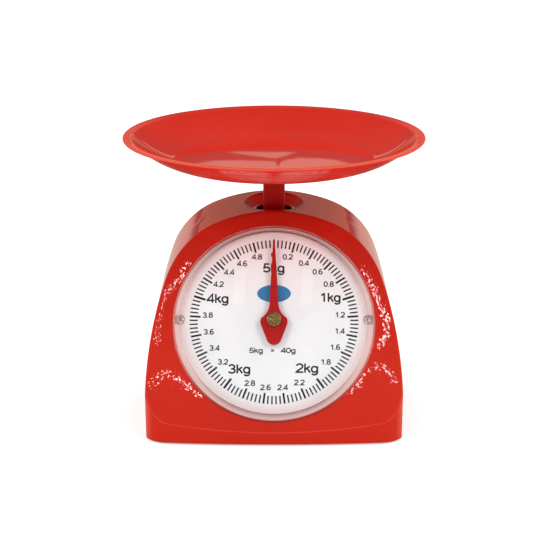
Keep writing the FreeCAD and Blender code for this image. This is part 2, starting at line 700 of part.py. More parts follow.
for z in (S.upper_pivot_z, S.lower_pivot_z):
    fp.append(fuse([rod_x(S.pin_radius, -22.2, 22.2, S.pivot_y, z),
                    rod_x(2.6, -23.2, -22.2, S.pivot_y, z), rod_x(2.6, 22.2, 23.2, S.pivot_y, z)]))
doc.recompute()
group("frame_pivot_pins", [p.Shape for p in fp])
stop = cut(rod(5.0, 12.8, 0, 0, zf0, name="stop_block"), [rod(2.0, 6, 0, 0, zf0 + 8)], "down_stop_cut")
node("down_stop", stop)

# ---------------------------------------------------------------- guide arms

arm_slope = S.arm_rise / S.arm_length


def arm(name, pivot_z):
    """A stamped U-shaped lever: two sides and a cross web."""
    ax0, ax1 = 16.3, 17.8
    py, pz = S.pivot_y, pivot_z
    cy, cz = S.carrier_pin_y, pivot_z + S.arm_rise
    body = pad(name + "_side", "YZ_Plane",
               [(cy - 5.0, cz - 2.4), (cy + 3, cz - 4.4), (py - 2, pz - 4.4), (py + 4.2, pz - 1.5),
                (py + 4.2, pz + 1.5), (py - 2, pz + 4.4), (cy + 3, cz + 4.4), (cy - 5.0, cz + 2.4)],
               None, 2 * ax1, None, True)
    hollow = box(-ax0, ax0, -30, 60, pz - 20, pz + 30)
    sides = cut(body, [hollow])
    web = box(-ax1, ax1, 15, 24, pz + 0.6, pz + 2.1)
    holes = [rod_x(S.pin_radius + S.bore_clearance, -30, 30, py, pz),
             rod_x(S.pin_radius + 0.75, -30, 30, cy, cz)]
    return node(name, cut(fuse([sides, web]), holes, name + "_cut"))


arm("upper_arm", S.upper_pivot_z)
arm("lower_arm", S.lower_pivot_z)

# ---------------------------------------------------------------- carrier (moves down under load)

cp_y = S.carrier_pin_y
up_z = S.upper_pivot_z + S.arm_rise
lo_z = S.lower_pivot_z + S.arm_rise
web_c = box(-14.5, 14.5, -1, 0.5, 28, S.post_bottom)
ears = []
for z in (up_z, lo_z):
    for s_ in (1, -1):
        a, b = (13.0, 14.5) if s_ > 0 else (-14.5, -13.0)
        ears.append(box(a, b, cp_y - 5, 0.5, z - 7, z + 7))
shelf = box(-14.5, 14.5, -9, 9, S.post_bottom - 1.5, S.post_bottom)
foot_tab = box(-6, 6, -6, 0.5, 28, 29.5)
bar_hole = [box(-12, 12, -2, 2, 56, 90)]
carrier = cut(fuse([web_c, shelf, foot_tab] + ears),
              [rod_x(S.pin_radius, -30, 30, cp_y, z) for z in (up_z, lo_z)] + bar_hole +
              [rod(1.2, 6, x, 4.8, S.post_bottom - 4) for x in (-4.0, 4.0)], "carrier_cut")
node("carrier_bracket", carrier)
cpins = []
for z in (up_z, lo_z):
    cpins.append(fuse([rod_x(S.pin_radius, -18.6, 18.6, cp_y, z), rod_x(2.6, -19.3, -18.6, cp_y, z),
                       rod_x(2.6, 18.6, 19.3, cp_y, z)]))
doc.recompute()
group("carrier_pins", [p.Shape for p in cpins])

crossbar = cut(box(-34, 34, -4.2, -1, S.crossbar_z, S.crossbar_z + 3.0, "crossbar_block"),
               [rod(1.1, 8, S.spring_x * s_, -2.6, S.crossbar_z - 2) for s_ in (1, -1)], "crossbar_cut")
node("spring_crossbar", crossbar)

slot_len = (S.pinion_radius * 2 * math.pi) * sin_t
drv = cut(fuse([box(driver_x, driver_x + 1.5, pin_y - slot_len - S.rack_pin_radius - 1.5, -1, pin_z - 3.1, pin_z + 2.2),
                box(driver_x - 0.0, driver_x + 3.8, -2.5, -1, pin_z - 3.1, pin_z + 2.2)]),
          [box(driver_x - 1, driver_x + 3, pin_y - slot_len - S.rack_pin_radius - 0.12, pin_y + S.rack_pin_radius + 0.12,
               pin_z - S.rack_pin_radius - 0.06, pin_z + S.rack_pin_radius + 0.06)], "rack_driver_cut")
node("rack_driver", drv)

# post: rounded square, with a smaller spigot that holds the tray
pw, pl, pr = S.post_width / 2, S.post_length / 2, S.post_corner


def rounded_square(name, hx, hy, r, z0, z1):
    return pad(name, "XY_Plane",
               [(-(hx - r), -hy), (hx - r, -hy), (hx, -(hy - r)), (hx, hy - r), (hx - r, hy),
                (-(hx - r), hy), (-hx, hy - r), (-hx, -(hy - r))],
               {1: (r, 1), 3: (r, 1), 5: (r, 1), 7: (r, 1)}, num(z1) - num(z0), num(z0))


tray_under = S.tray_floor_height - S.tray_thick
post = cut(fuse([rounded_square("post_column", pw, pl, pr, S.post_bottom, tray_under - 4.0),
                 rounded_square("post_flange", num(11.0), num(8.6), num(2.5), S.post_bottom, S.post_bottom + 2.5)]),
           [rod(1.0, 14, x, 4.8, S.post_bottom - 1) for x in (-4.0, 4.0)], "tray_post_cut")
node("tray_post", post)
post_screw = screw_proto("post_screw_proto", 2.4, 1.5, 0.98, 9.0, 1.5)
doc.recompute()
group("post_screws", copies(post_screw.Shape, [
    Placement(Vector(x, 4.8, S.post_bottom.v - 1.52), flip) for x in (-4.0, 4.0)]))

# ---------------------------------------------------------------- tray

tr, tz, tf, tt = S.tray_radius, S.tray_rim_height, S.tray_floor_height, S.tray_thick
fr = S.tray_floor_radius
li = S.lip_inner_radius
tray_dish = turned("tray_dish", [
    (0, tf - tt), (fr - 1.5, tf - tt), (li - 0.2, tz - 2.6), (tr - 0.9, tz - 1.6), (tr, tz - 0.8),
    (tr - 0.9, tz), (li + 1.0, tz - 0.7), (fr + 1.0, tf), (0, tf)],
    {1: (62, 1), 3: (0.9, 1), 4: (0.9, 1), 6: (60, -1)})
sw, sd = S.socket_width / 2, S.socket_depth
sock = cut(fuse([rounded_square("socket_wall", sw, sw - 0.6, num(5), tf - tt - sd, tf - 1.0),
                 box(-34, 34, -0.9, 0.9, tf - tt - 5, tf - 1.0), box(-0.9, 0.9, -34, 34, tf - tt - 5, tf - 1.0)]),
           [rounded_square("socket_hole", pw + 0.25, pl + 0.25, pr, tf - tt - sd - 1, tf - tt - 3.9)])
tray = fuse([tray_dish, sock], "tray_joined")
node("tray", tray)

# ---------------------------------------------------------------- spring hanger and zero adjuster

hz = S.hanger_z
sx = S.spring_x
hang = cut(fuse([box(sx - 3.5, sx + 3.5, -7, 38, hz, hz + 2), box(-(sx + 3.5), -(sx - 3.5), -7, 38, hz, hz + 2),
                 box(-(sx + 3.5), sx + 3.5, 28, 38, hz, hz + 2)]),
           [rod(1.1, 6, sx * s_, -2.6, hz - 2) for s_ in (1, -1)] + [rod(2.1, 6, 0, S.wheel_y, hz - 2)], "hanger_cut")
node("spring_hanger", hang)
nut = cut(box(-4, 4, S.wheel_y - 3.5, S.wheel_y + 3.5, hz + 2, hz + 5, "nut_block"),
          [rod(2.06, 8, 0, S.wheel_y, hz)], "hanger_nut_cut")
node("hanger_nut", nut)
zs = turned("zero_screw_body", [(0, 102.4), (1.98, 102.4), (1.98, 124.6), (1.6, 125.2), (0, 125.2)])
place(zs, 0, S.wheel_y, 0)
node("zero_screw", zs)
wr, wb, wt = S.wheel_radius, S.wheel_bottom, S.wheel_thick
wheel_blank = turned("wheel_blank", [(1.98, 107.1), (4.5, 107.1), (4.5, wb), (wr - 0.6, wb), (wr, wb + 0.6),
                                     (wr, wb + wt - 0.6), (wr - 0.6, wb + wt), (1.98, wb + wt)])
place(wheel_blank, 0, S.wheel_y, 0)
doc.recompute()
wh = doc.addObject("Part::Feature", "zero_wheel_shape")
grooves = []
for k in range(40):
    a = 2 * math.pi * k / 40
    grooves.append(Part.makeCylinder(0.42, wt.v + 2, Vector((wr.v + 0.12) * math.cos(a),
                   S.wheel_y.v + (wr.v + 0.12) * math.sin(a), wb.v - 1)))
wh.Shape = wheel_blank.Shape.cut(grooves)
node("zero_wheel", wh)
clip = cut(rod(3.6, 0.7, 0, S.wheel_y, 103.6, name="clip_disc"),
           [rod(1.98, 3, 0, S.wheel_y, 102.6), box(-0.9, 0.9, S.wheel_y - 5, S.wheel_y, 103, 105)], "zero_clip_cut")
node("zero_screw_clip", clip)

# ---------------------------------------------------------------- springs, as plain sleeves of the coil's size

for nm, s_ in (("spring_left", -1), ("spring_right", 1)):
    x = sx * s_
    coil = cut(rod(3.2, hz - 5 - (S.crossbar_z + 8), x, -2.6, S.crossbar_z + 8),
               [rod(2.3, hz - 9 - (S.crossbar_z + 12), x, -2.6, S.crossbar_z + 12)])
    ends = [rod(0.6, 7.4, x, -2.6, S.crossbar_z + 1.0), rod(0.6, 6.6, x, -2.6, hz - 5.4)]
    node(nm, fuse([coil] + ends, nm + "_joined"))

# ---------------------------------------------------------------- check and write

doc.recompute()
bad = []
for o in doc.Objects:
    if "Invalid" in o.State or "Error" in o.State:
        bad.append((o.Name, o.State))
for name, o in NODES.items():
    s = o.Shape
    if s.isNull() or not s.isValid() or not s.Solids:
        bad.append((name, "null" if s.isNull() else "valid %s solids %d" % (s.isValid(), len(s.Solids))))
if bad:
    for b in bad:
        print("BAD", b, [q.Label for q in doc.getObject(b[0]).InList] if doc.getObject(b[0]) else "")
    raise SystemExit("some objects failed")

os.makedirs("parts", exist_ok=True)
for name, o in NODES.items():
    o.Shape.exportStep(os.path.join("parts", name + ".step"))
    bb = o.Shape.BoundBox
    print("%-18s solids %d vol %9.1f  x %7.1f %7.1f  y %7.1f %7.1f  z %7.1f %7.1f" % (
        name, len(o.Shape.Solids), o.Shape.Volume, bb.XMin, bb.XMax, bb.YMin, bb.YMax, bb.ZMin, bb.ZMax))
print(len(NODES), "nodes")
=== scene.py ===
import json
import math

import bmesh
import bpy
import numpy as np
from mathutils import Matrix, Vector

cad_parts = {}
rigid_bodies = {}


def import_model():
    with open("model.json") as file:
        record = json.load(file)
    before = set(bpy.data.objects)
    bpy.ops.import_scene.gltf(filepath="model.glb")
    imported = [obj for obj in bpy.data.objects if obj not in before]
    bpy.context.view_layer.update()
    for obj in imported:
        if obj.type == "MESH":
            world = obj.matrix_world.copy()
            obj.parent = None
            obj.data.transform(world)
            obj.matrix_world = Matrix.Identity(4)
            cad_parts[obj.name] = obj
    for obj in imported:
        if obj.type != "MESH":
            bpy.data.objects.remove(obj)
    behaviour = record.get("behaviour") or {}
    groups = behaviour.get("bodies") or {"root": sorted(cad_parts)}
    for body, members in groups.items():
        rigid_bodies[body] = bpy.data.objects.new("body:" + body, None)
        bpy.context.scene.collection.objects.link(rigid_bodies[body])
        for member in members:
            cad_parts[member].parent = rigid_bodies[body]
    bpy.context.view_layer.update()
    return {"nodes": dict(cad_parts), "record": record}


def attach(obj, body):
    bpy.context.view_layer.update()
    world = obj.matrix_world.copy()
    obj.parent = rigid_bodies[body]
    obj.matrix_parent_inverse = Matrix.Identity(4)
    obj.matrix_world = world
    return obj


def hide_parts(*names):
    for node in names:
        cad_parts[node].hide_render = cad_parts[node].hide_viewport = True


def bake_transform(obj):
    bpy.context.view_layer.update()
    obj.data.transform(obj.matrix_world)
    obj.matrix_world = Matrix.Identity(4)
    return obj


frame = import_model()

nodes = frame["nodes"]
MM = 0.001

# ------------------------------------------------------------------ frames
# The dial leans back. Its own frame has Z out of the face and Y up the face.
TILT = math.radians(31.56)
CS, SN = math.cos(TILT), math.sin(TILT)
UP = Vector((0, SN, CS))
OUT = Vector((0, -CS, SN))
OPENING = Vector((0, -60.7, 74.0))
DIAL = OPENING + UP * 2.7 - OUT * 7.0


def frame_of(origin):
    m = Matrix((
        (1, 0, 0, origin.x * MM),
        (0, UP.y, OUT.y, origin.y * MM),
        (0, UP.z, OUT.z, origin.z * MM),
        (0, 0, 0, 1)))
    return m


DIAL_M = frame_of(DIAL)
OPEN_M = frame_of(OPENING)


# ------------------------------------------------------------------ mesh helpers
def mesh_piece(name, verts, faces, mat, matrix=None, sharp=35.0):
    me = bpy.data.meshes.new(name)
    me.from_pydata([tuple(v) for v in verts], [], faces)
    bm = bmesh.new()
    bm.from_mesh(me)
    bmesh.ops.remove_doubles(bm, verts=bm.verts, dist=1e-7)
    bmesh.ops.recalc_face_normals(bm, faces=bm.faces)
    bm.to_mesh(me)
    bm.free()
    me.polygons.foreach_set("use_smooth", [True] * len(me.polygons))
    me.set_sharp_from_angle(angle=math.radians(sharp))
    ob = bpy.data.objects.new(name, me)
    bpy.context.scene.collection.objects.link(ob)
    if matrix is not None:
        ob.matrix_world = matrix
    me.materials.append(mat)
    return ob


def arc_points(p, q, radius, side, n):
    """Points from p to q on an arc whose centre lies left of p to q (side 1) or right (-1); q is left out."""
    p, q = Vector(p), Vector(q)
    mid, d = (p + q) / 2, q - p
    left = Vector((-d.y, d.x)).normalized()
    c = mid + left * side * math.sqrt(max(radius ** 2 - (d.length / 2) ** 2, 0))
    a0 = math.atan2(p.y - c.y, p.x - c.x)
    a1 = math.atan2(q.y - c.y, q.x - c.x)
    if side > 0 and a1 < a0:
        a1 += 2 * math.pi
    if side < 0 and a1 > a0:
        a1 -= 2 * math.pi
    return [(c.x + radius * math.cos(a0 + (a1 - a0) * i / n), c.y + radius * math.sin(a0 + (a1 - a0) * i / n)) for i in range(n)]


def softened(points, cuts):
    """A profile with the corners named in cuts {index: radius} rounded off."""
    out = []
    n = len(points)
    for i, p in enumerate(points):
        if i not in cuts or i in (0, n - 1):
            out.append(tuple(p))
            continue
        p, a, b = Vector(p), Vector(points[i - 1]), Vector(points[i + 1])
        da, db = (a - p), (b - p)
        r = min(cuts[i], da.length * 0.45, db.length * 0.45)
        pa, pb = p + da.normalized() * r, p + db.normalized() * r
        for k in range(6):
            t = k / 5
            out.append(tuple(pa * (1 - t) ** 2 + p * 2 * t * (1 - t) + pb * t ** 2))
    return out


def lathe(name, profile, segs, mat, matrix=None, sharp=35.0, closed=False):
    """profile: (radius, height) in mm, from the axis out and back to it, or a closed ring."""
    verts, faces, rings = [], [], []
    for r, z in profile:
        if r < 1e-6:
            rings.append([len(verts)])
            verts.append((0, 0, z * MM))
        else:
            rings.append(list(range(len(verts), len(verts) + segs)))
            for k in range(segs):
                a = 2 * math.pi * k / segs
                verts.append((r * MM * math.cos(a), r * MM * math.sin(a), z * MM))
    pairs = list(zip(rings, rings[1:]))
    if closed:
        pairs.append((rings[-1], rings[0]))
    for a, b in pairs:
        for k in range(segs):
            k2 = (k + 1) % segs
            if len(a) == 1 and len(b) == 1:
                continue
            if len(a) == 1:
                faces.append((a[0], b[k], b[k2]))
            elif len(b) == 1:
                faces.append((a[k], b[0], a[k2]))
            else:
                faces.append((a[k], b[k], b[k2], a[k2]))
    return mesh_piece(name, verts, faces, mat, matrix, sharp)


def add_bevel(ob, width, segments=2, angle=30.0):
    m = ob.modifiers.new("Bevel", "BEVEL")
    m.width = width * MM
    m.segments = segments
    m.limit_method = "ANGLE"
    m.angle_limit = math.radians(angle)
    return m


# ------------------------------------------------------------------ material helpers
class Mat:
    """A small node-material writer around one Principled shader."""

    def __init__(self, name):
        self.m = bpy.data.materials.new(name)
        self.m.use_nodes = True
        self.t = self.m.node_tree
        self.t.nodes.clear()
        self.out = self.t.nodes.new("ShaderNodeOutputMaterial")
        self.b = self.t.nodes.new("ShaderNodeBsdfPrincipled")
        self.link(self.b.outputs[0], self.out.inputs[0])
        self.tc = self.t.nodes.new("ShaderNodeTexCoord")

    def link(self, a, b):
        self.t.links.new(a, b)

    def set(self, **kw):
        names = {"color": "Base Color", "rough": "Roughness", "metal": "Metallic", "ior": "IOR",
                 "spec": "Specular IOR Level", "trans": "Transmission Weight", "coat": "Coat Weight",
                 "coat_rough": "Coat Roughness", "sub": "Subsurface Weight", "aniso": "Anisotropic"}
        for k, v in kw.items():
            s = self.b.inputs[names[k]]
            s.default_value = (*v, 1) if k == "color" else v
        return self

    def noise(self, scale, detail=3.0, rough=0.55, vector=None, distortion=0.0, out="Fac"):
        n = self.t.nodes.new("ShaderNodeTexNoise")
        n.inputs["Scale"].default_value = scale
        n.inputs["Detail"].default_value = detail
        n.inputs["Roughness"].default_value = rough
        n.inputs["Distortion"].default_value = distortion
        self.link(vector or self.tc.outputs["Object"], n.inputs["Vector"])
        return n.outputs[out]

    def voronoi(self, scale, feature="F1", vector=None, rand=1.0):
        n = self.t.nodes.new("ShaderNodeTexVoronoi")
        n.feature = feature
        n.inputs["Scale"].default_value = scale
        n.inputs["Randomness"].default_value = rand
        self.link(vector or self.tc.outputs["Object"], n.inputs["Vector"])
        return n.outputs["Distance"]

    def ramp(self, fac, stops, interp="LINEAR"):
        n = self.t.nodes.new("ShaderNodeValToRGB")
        n.color_ramp.interpolation = interp
        e = n.color_ramp.elements
        while len(e) > 1:
            e.remove(e[-1])
        for i, (p, c) in enumerate(stops):
            c = (c, c, c, 1) if isinstance(c, (int, float)) else (*c, 1)
            if i == 0:
                e[0].position, e[0].color = p, c
            else:
                el = e.new(p)
                el.color = c
        self.link(fac, n.inputs[0])
        return n.outputs[0]

    def range(self, v, a, b, c, d):
        n = self.t.nodes.new("ShaderNodeMapRange")
        for i, x in enumerate((a, b, c, d)):
            n.inputs[i + 1].default_value = x
        self.link(v, n.inputs[0])
        return n.outputs[0]

    def math(self, op, a, b=None, c=None):
        n = self.t.nodes.new("ShaderNodeMath")
        n.operation = op
        for i, x in enumerate((a, b, c)):
            if x is None:
                continue
            if isinstance(x, (int, float)):
                n.inputs[i].default_value = x
            else:
                self.link(x, n.inputs[i])
        return n.outputs[0]

    def mix(self, fac, a, b):
        n = self.t.nodes.new("ShaderNodeMix")
        n.data_type = "RGBA"
        for sock, x in ((n.inputs[0], fac), (n.inputs[6], a), (n.inputs[7], b)):
            if isinstance(x, (int, float)):
                sock.default_value = x
            elif isinstance(x, tuple):
                sock.default_value = (*x, 1)
            else:
                self.link(x, sock)
        return n.outputs[2]

    def xyz(self, vector=None):
        n = self.t.nodes.new("ShaderNodeSeparateXYZ")
        self.link(vector or self.tc.outputs["Object"], n.inputs[0])
        return n.outputs

    def vec(self, op, a, b=None):
        n = self.t.nodes.new("ShaderNodeVectorMath")
        n.operation = op
        self.link(a, n.inputs[0])
        if isinstance(b, (int, float)):
            n.inputs["Scale"].default_value = b
        elif isinstance(b, tuple):
            n.inputs[1].default_value = b
        elif b is not None:
            self.link(b, n.inputs[1])
        return n.outputs[0]

    def combine(self, x, y, z):
        n = self.t.nodes.new("ShaderNodeCombineXYZ")
        for i, v in enumerate((x, y, z)):
            if isinstance(v, (int, float)):
                n.inputs[i].default_value = v
            else:
                self.link(v, n.inputs[i])
        return n.outputs[0]

    def color(self, socket):
        self.link(socket, self.b.inputs["Base Color"])

    def rough(self, socket):
        self.link(socket, self.b.inputs["Roughness"])

    def bump(self, height, strength, distance, normal=None):
        n = self.t.nodes.new("ShaderNodeBump")
        n.inputs["Strength"].default_value = strength
        n.inputs["Distance"].default_value = distance * MM
        self.link(height, n.inputs["Height"])
        if normal is not None:
            self.link(normal, n.inputs["Normal"])
        self.link(n.outputs[0], self.b.inputs["Normal"])
        return n.outputs[0]


def srgb(r, g, b):
    def f(c):
        c /= 255.0
        return c / 12.92 if c <= 0.04045 else ((c + 0.055) / 1.055) ** 2.4
    return (f(r), f(g), f(b))


def plastic(name, dark, light, rough, peel, peel_scale, peel_depth, spec=0.5, edge=0.0, detail=2.0, painted_top_shade=None, facets=None, painted_slot_shade=False):
    """Moulded plastic: faint cloudiness in its colour, a peel or fine grain in its skin, and rubbed spots in its gloss;
    it can also be given a painted shade towards its top and a painted near-black shade in the slot round the post.
    """
    m = Mat(name).set(ior=1.5, spec=spec)
    cloud = m.noise(14, 3)
    speck = m.noise(900, 2)
    tone_and_painted_shade = m.range(m.math("ADD", m.math("MULTIPLY", cloud, 0.8), m.math("MULTIPLY", speck, 0.2)), 0.35, 0.65, 0, 1)
    # painted shade: when given, the colour grows darker towards the top of the part, where the tray above shades it
    if painted_top_shade:
        tone_and_painted_shade = m.math("ADD", m.math("MULTIPLY", tone_and_painted_shade, 0.3), m.range(m.xyz()[2], painted_top_shade[0], painted_top_shade[1], 0, 0.7))
    col = m.mix(tone_and_painted_shade, dark, light)
    if painted_slot_shade:
        # painted shade: the slot around the post is coloured near black, as no light reaches into it
        x, y, z = m.xyz()
        inside = m.math("MULTIPLY", m.math("LESS_THAN", z, 0.13665), m.math("LESS_THAN", m.math("ABSOLUTE", x), 0.0128))
        inside = m.math("MULTIPLY", inside, m.math("MULTIPLY", m.math("GREATER_THAN", y, -0.0137), m.math("LESS_THAN", y, 0.0203)))
        inside = m.math("MULTIPLY", inside, m.math("GREATER_THAN", z, 0.128))
        col = m.mix(inside, col, (0.012, 0.002, 0.002))
    m.color(col)
    m.rough(m.range(m.noise(60, 4), 0.3, 0.7, rough * 0.85, rough * 1.2))
    skin = m.noise(peel_scale, detail, 0.5, distortion=0.3)
    soft = None
    if edge:
        bev = m.t.nodes.new("ShaderNodeBevel")
        bev.samples = 6
        bev.inputs["Radius"].default_value = edge * MM
        soft = bev.outputs[0]
    if facets:
        # the skin is a crazed pattern of tiny flats, each leaning its own way by a fraction of a degree
        wob = m.noise(500, 1, out="Color")
        vec = m.vec("ADD", m.tc.outputs["Object"], m.vec("SCALE", m.vec("SUBTRACT", wob, (0.5, 0.5, 0.5)), 0.0016))
        vor = m.t.nodes.new("ShaderNodeTexVoronoi")
        vor.inputs["Scale"].default_value = facets[0]
        m.link(vec, vor.inputs["Vector"])
        lean = m.vec("SCALE", m.vec("SUBTRACT", vor.outputs["Color"], (0.5, 0.5, 0.5)), facets[1])
        soft = m.vec("NORMALIZE", m.vec("ADD", soft, lean))
    m.bump(skin, peel, peel_depth, soft)
    return m.m


def metal(name, dark, light, rough, scale=180, grain=0.15, stretch=None, part=1.0):
    m = Mat(name).set(metal=part)
    v = m.tc.outputs["Object"]
    if stretch:
        x, y, z = m.xyz()
        v = m.combine(m.math("MULTIPLY", x, stretch[0]), m.math("MULTIPLY", y, stretch[1]), m.math("MULTIPLY", z, stretch[2]))
    n1 = m.noise(scale, 4, vector=v)
    m.color(m.mix(m.range(n1, 0.35, 0.65, 0, 1), dark, light))
    m.rough(m.range(m.noise(scale * 2.3, 3, vector=v), 0.3, 0.7, rough * 0.75, rough * 1.3))
    m.bump(m.noise(scale * 6, 2, vector=v), grain, 0.03)
    return m.m


# ------------------------------------------------------------------ materials
M = {}
# painted shade on the housing: darker towards its top, and near black in the slot round the post
M["housing_red"] = plastic("housing_red_plastic", srgb(183, 27, 15), srgb(196, 44, 29), 0.011, 0.3, 300, 0.006, edge=0.9, detail=0.4, painted_top_shade=(0.135, 0.045),
                          facets=(850, 0.0042), painted_slot_shade=True)
M["base_red"] = plastic("base_red_plastic", srgb(140, 20, 16), srgb(152, 25, 20), 0.42, 0.3, 500, 0.08)
M["post_red"] = plastic("post_red_plastic", srgb(156, 12, 8), srgb(166, 15, 10), 0.24, 0.2, 420, 0.06, spec=0.06)

# the tray: painted highlight, its lip is coloured paler towards the front, standing in for light caught along its edge
tr = Mat("tray_red_plastic").set(ior=1.5, spec=0.5)
tx, ty, tz = tr.xyz()
t_rad = tr.math("SQRT", tr.math("ADD", tr.math("MULTIPLY", tx, tx), tr.math("MULTIPLY", ty, ty)))
t_lip_highlight = tr.math("MULTIPLY", tr.range(t_rad, 0.0980, 0.0994, 0.0, 0.7), tr.range(ty, 0.02, 0.07, 1.0, 0.0))
t_cloud = tr.mix(tr.range(tr.noise(14, 3), 0.35, 0.65, 0, 1), srgb(196, 38, 24), srgb(203, 43, 28))
tr.color(tr.mix(t_lip_highlight, t_cloud, srgb(240, 88, 68)))
tr.rough(tr.range(tr.noise(60, 4), 0.3, 0.7, 0.018, 0.026))
tr.bump(tr.noise(120, 1.5), 0.10, 0.02)
M["tray_red"] = tr.m
# its underside is satin
M["tray_under"] = plastic("tray_red_satin", srgb(194, 36, 24), srgb(202, 41, 28), 0.3, 0.05, 150, 0.02, spec=0.22)
M["pointer_red"] = plastic("pointer_red_plastic", srgb(166, 9, 6), srgb(178, 12, 9), 0.35, 0.15, 700, 0.04, spec=0.25)
# the dial's enamel, with painted light: pinker towards the top, standing in for red light thrown onto it, and greyer
# pink near its rim, standing in for the collar's shade and red bounce light
dw = Mat("dial_white_enamel").set(ior=1.5, spec=0.5)
from_mid = dw.vec("SUBTRACT", dw.tc.outputs["Object"], tuple(DIAL * MM))
d_len = dw.t.nodes.new("ShaderNodeVectorMath")
d_len.operation = "LENGTH"
dw.link(from_mid, d_len.inputs[0])
d_white = dw.mix(dw.range(dw.noise(40, 3), 0.35, 0.65, 0, 1), srgb(235, 239, 240), srgb(241, 245, 246))
d_top_painted_bounce = dw.mix(dw.range(dw.xyz(from_mid)[2], 0.005, 0.050, 0, 1), d_white, srgb(244, 234, 235))
# painted shade and painted bounce light: greyer pink near the rim of the dial
dw.color(dw.mix(dw.range(d_len.outputs["Value"], 0.056, 0.0665, 0, 1), d_top_painted_bounce, srgb(226, 204, 201)))
dw.rough(dw.range(dw.noise(60, 3), 0.3, 0.7, 0.28, 0.36))
dw.bump(dw.noise(300, 2), 0.08, 0.03)
M["dial_white"] = dw.m
M["white_plastic"] = plastic("acetal_white", srgb(226, 224, 216), srgb(236, 234, 228), 0.35, 0.15, 300, 0.05)
M["black_rubber"] = plastic("black_rubber", srgb(24, 24, 25), srgb(38, 38, 39), 0.75, 0.4, 900, 0.08, spec=0.35)
M["zinc_steel"] = metal("zinc_plated_steel", srgb(168, 170, 172), srgb(205, 206, 206), 0.34, 160, 0.15)
M["screw_steel"] = metal("nickel_screw", srgb(112, 98, 90), srgb(238, 228, 218), 0.26, 1000, 1.0, part=0.6)
M["spring_steel"] = metal("spring_wire", srgb(150, 150, 150), srgb(196, 196, 196), 0.28, 500, 0.12)
M["brass"] = metal("brass_bar", srgb(178, 146, 84), srgb(206, 174, 108), 0.26, 300, 0.1)

ink = Mat("dial_ink").set(ior=1.5)
ink.color(ink.mix(ink.range(ink.noise(1500, 2), 0.3, 0.7, 0, 1), srgb(6, 6, 8), srgb(16, 15, 17)))
ink.rough(ink.range(ink.noise(300, 2), 0.3, 0.7, 0.4, 0.55))
M["ink"] = ink.m

blue = Mat("dial_badge_blue").set(ior=1.5)
blue.color(blue.mix(blue.range(blue.noise(900, 2), 0.3, 0.7, 0, 1), srgb(40, 112, 164), srgb(52, 124, 176)))
blue.rough(blue.range(blue.noise(300, 2), 0.3, 0.7, 0.4, 0.5))
M["blue"] = blue.m

lens_m = Mat("clear_styrene").set(trans=1.0, ior=1.46, rough=0.02, spec=0.06)
lx, ly, lz = lens_m.xyz()
l_rad = lens_m.math("SQRT", lens_m.math("ADD", lens_m.math("MULTIPLY", lx, lx), lens_m.math("MULTIPLY", ly, ly)))
lens_m.rough(lens_m.range(l_rad, 0.0644, 0.0652, 0.015, 0.03))
l_clear = lens_m.mix(lens_m.range(lens_m.noise(9, 2), 0.3, 0.7, 0, 1), (0.985, 0.985, 0.985), (1.0, 1.0, 1.0))
# painted reflection and shade: dark, pale and pink rings on the rim of the lens stand in for the red housing seen in it
# and the shade of its wall, strongest at the bottom
l_edge_painted_reflection = lens_m.ramp(lens_m.range(l_rad, 0.0625, 0.0685, 0.0, 1.0), [
    (0.15, (1.0, 1.0, 1.0)), (0.18, (0.34, 0.26, 0.26)), (0.24, (0.44, 0.36, 0.36)), (0.32, (0.60, 0.49, 0.50)),
    (0.42, (0.66, 0.56, 0.58)), (0.52, (0.84, 0.76, 0.76)), (0.62, (1.0, 0.95, 0.93)), (0.77, (1.0, 0.84, 0.80)),
    (0.86, (0.60, 0.24, 0.24)), (1.0, (0.55, 0.22, 0.22))])
l_painted_band_weight = lens_m.math("MAXIMUM", lens_m.range(ly, -0.02, -0.055, 0.13, 1.0), lens_m.range(ly, 0.03, 0.06, 0.13, 0.5))
lens_m.color(lens_m.mix(l_painted_band_weight, l_clear, l_edge_painted_reflection))
# painted light: the rim of the lens glows faintly pink, most at its sides, though no lamp lights it
lens_m.b.inputs["Emission Color"].default_value = (0.92, 0.75, 0.69, 1)
lens_m.link(lens_m.math("MULTIPLY", lens_m.range(l_rad, 0.0625, 0.0648, 0.0, 0.125), lens_m.range(lens_m.math("ABSOLUTE", ly), 0.02, 0.06, 1.0, 0.2)), lens_m.b.inputs["Emission Strength"])
lens_m.link(lens_m.range(l_rad, 0.0620, 0.0638, 1.46, 1.16), lens_m.b.inputs["IOR"])
lens_m.bump(lens_m.noise(22, 2), 0.06, 0.1)
M["clear_lens"] = lens_m.m

# the turned end of the hub: fine tool rings and a bright rim
hub_m = Mat("turned_brass").set(metal=0.7)
hx, hy, hz = hub_m.xyz()
hr = hub_m.math("SQRT", hub_m.math("ADD", hub_m.math("MULTIPLY", hx, hx), hub_m.math("MULTIPLY", hy, hy)))
rings = hub_m.math("SINE", hub_m.math("MULTIPLY", hr, 2 * math.pi / 0.00055))
hub_m.color(hub_m.mix(hub_m.range(hub_m.noise(700, 3), 0.35, 0.65, 0, 1), srgb(120, 92, 50), srgb(172, 140, 90)))
hub_m.rough(hub_m.range(hub_m.noise(500, 3), 0.3, 0.7, 0.22, 0.4))
hub_m.bump(hub_m.math("ADD", rings, hub_m.math("MULTIPLY", hub_m.noise(1400, 2), 1.2)), 0.35, 0.05)
M["hub"] = hub_m.m

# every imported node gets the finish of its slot
slot_of = {s["node"]: s["material_slot"] for s in frame["record"]["subparts"]}
for name, ob in nodes.items():
    mat = M[slot_of[name]]
    if not ob.material_slots:
        ob.data.materials.append(mat)
    for sl in ob.material_slots:
        sl.material = mat

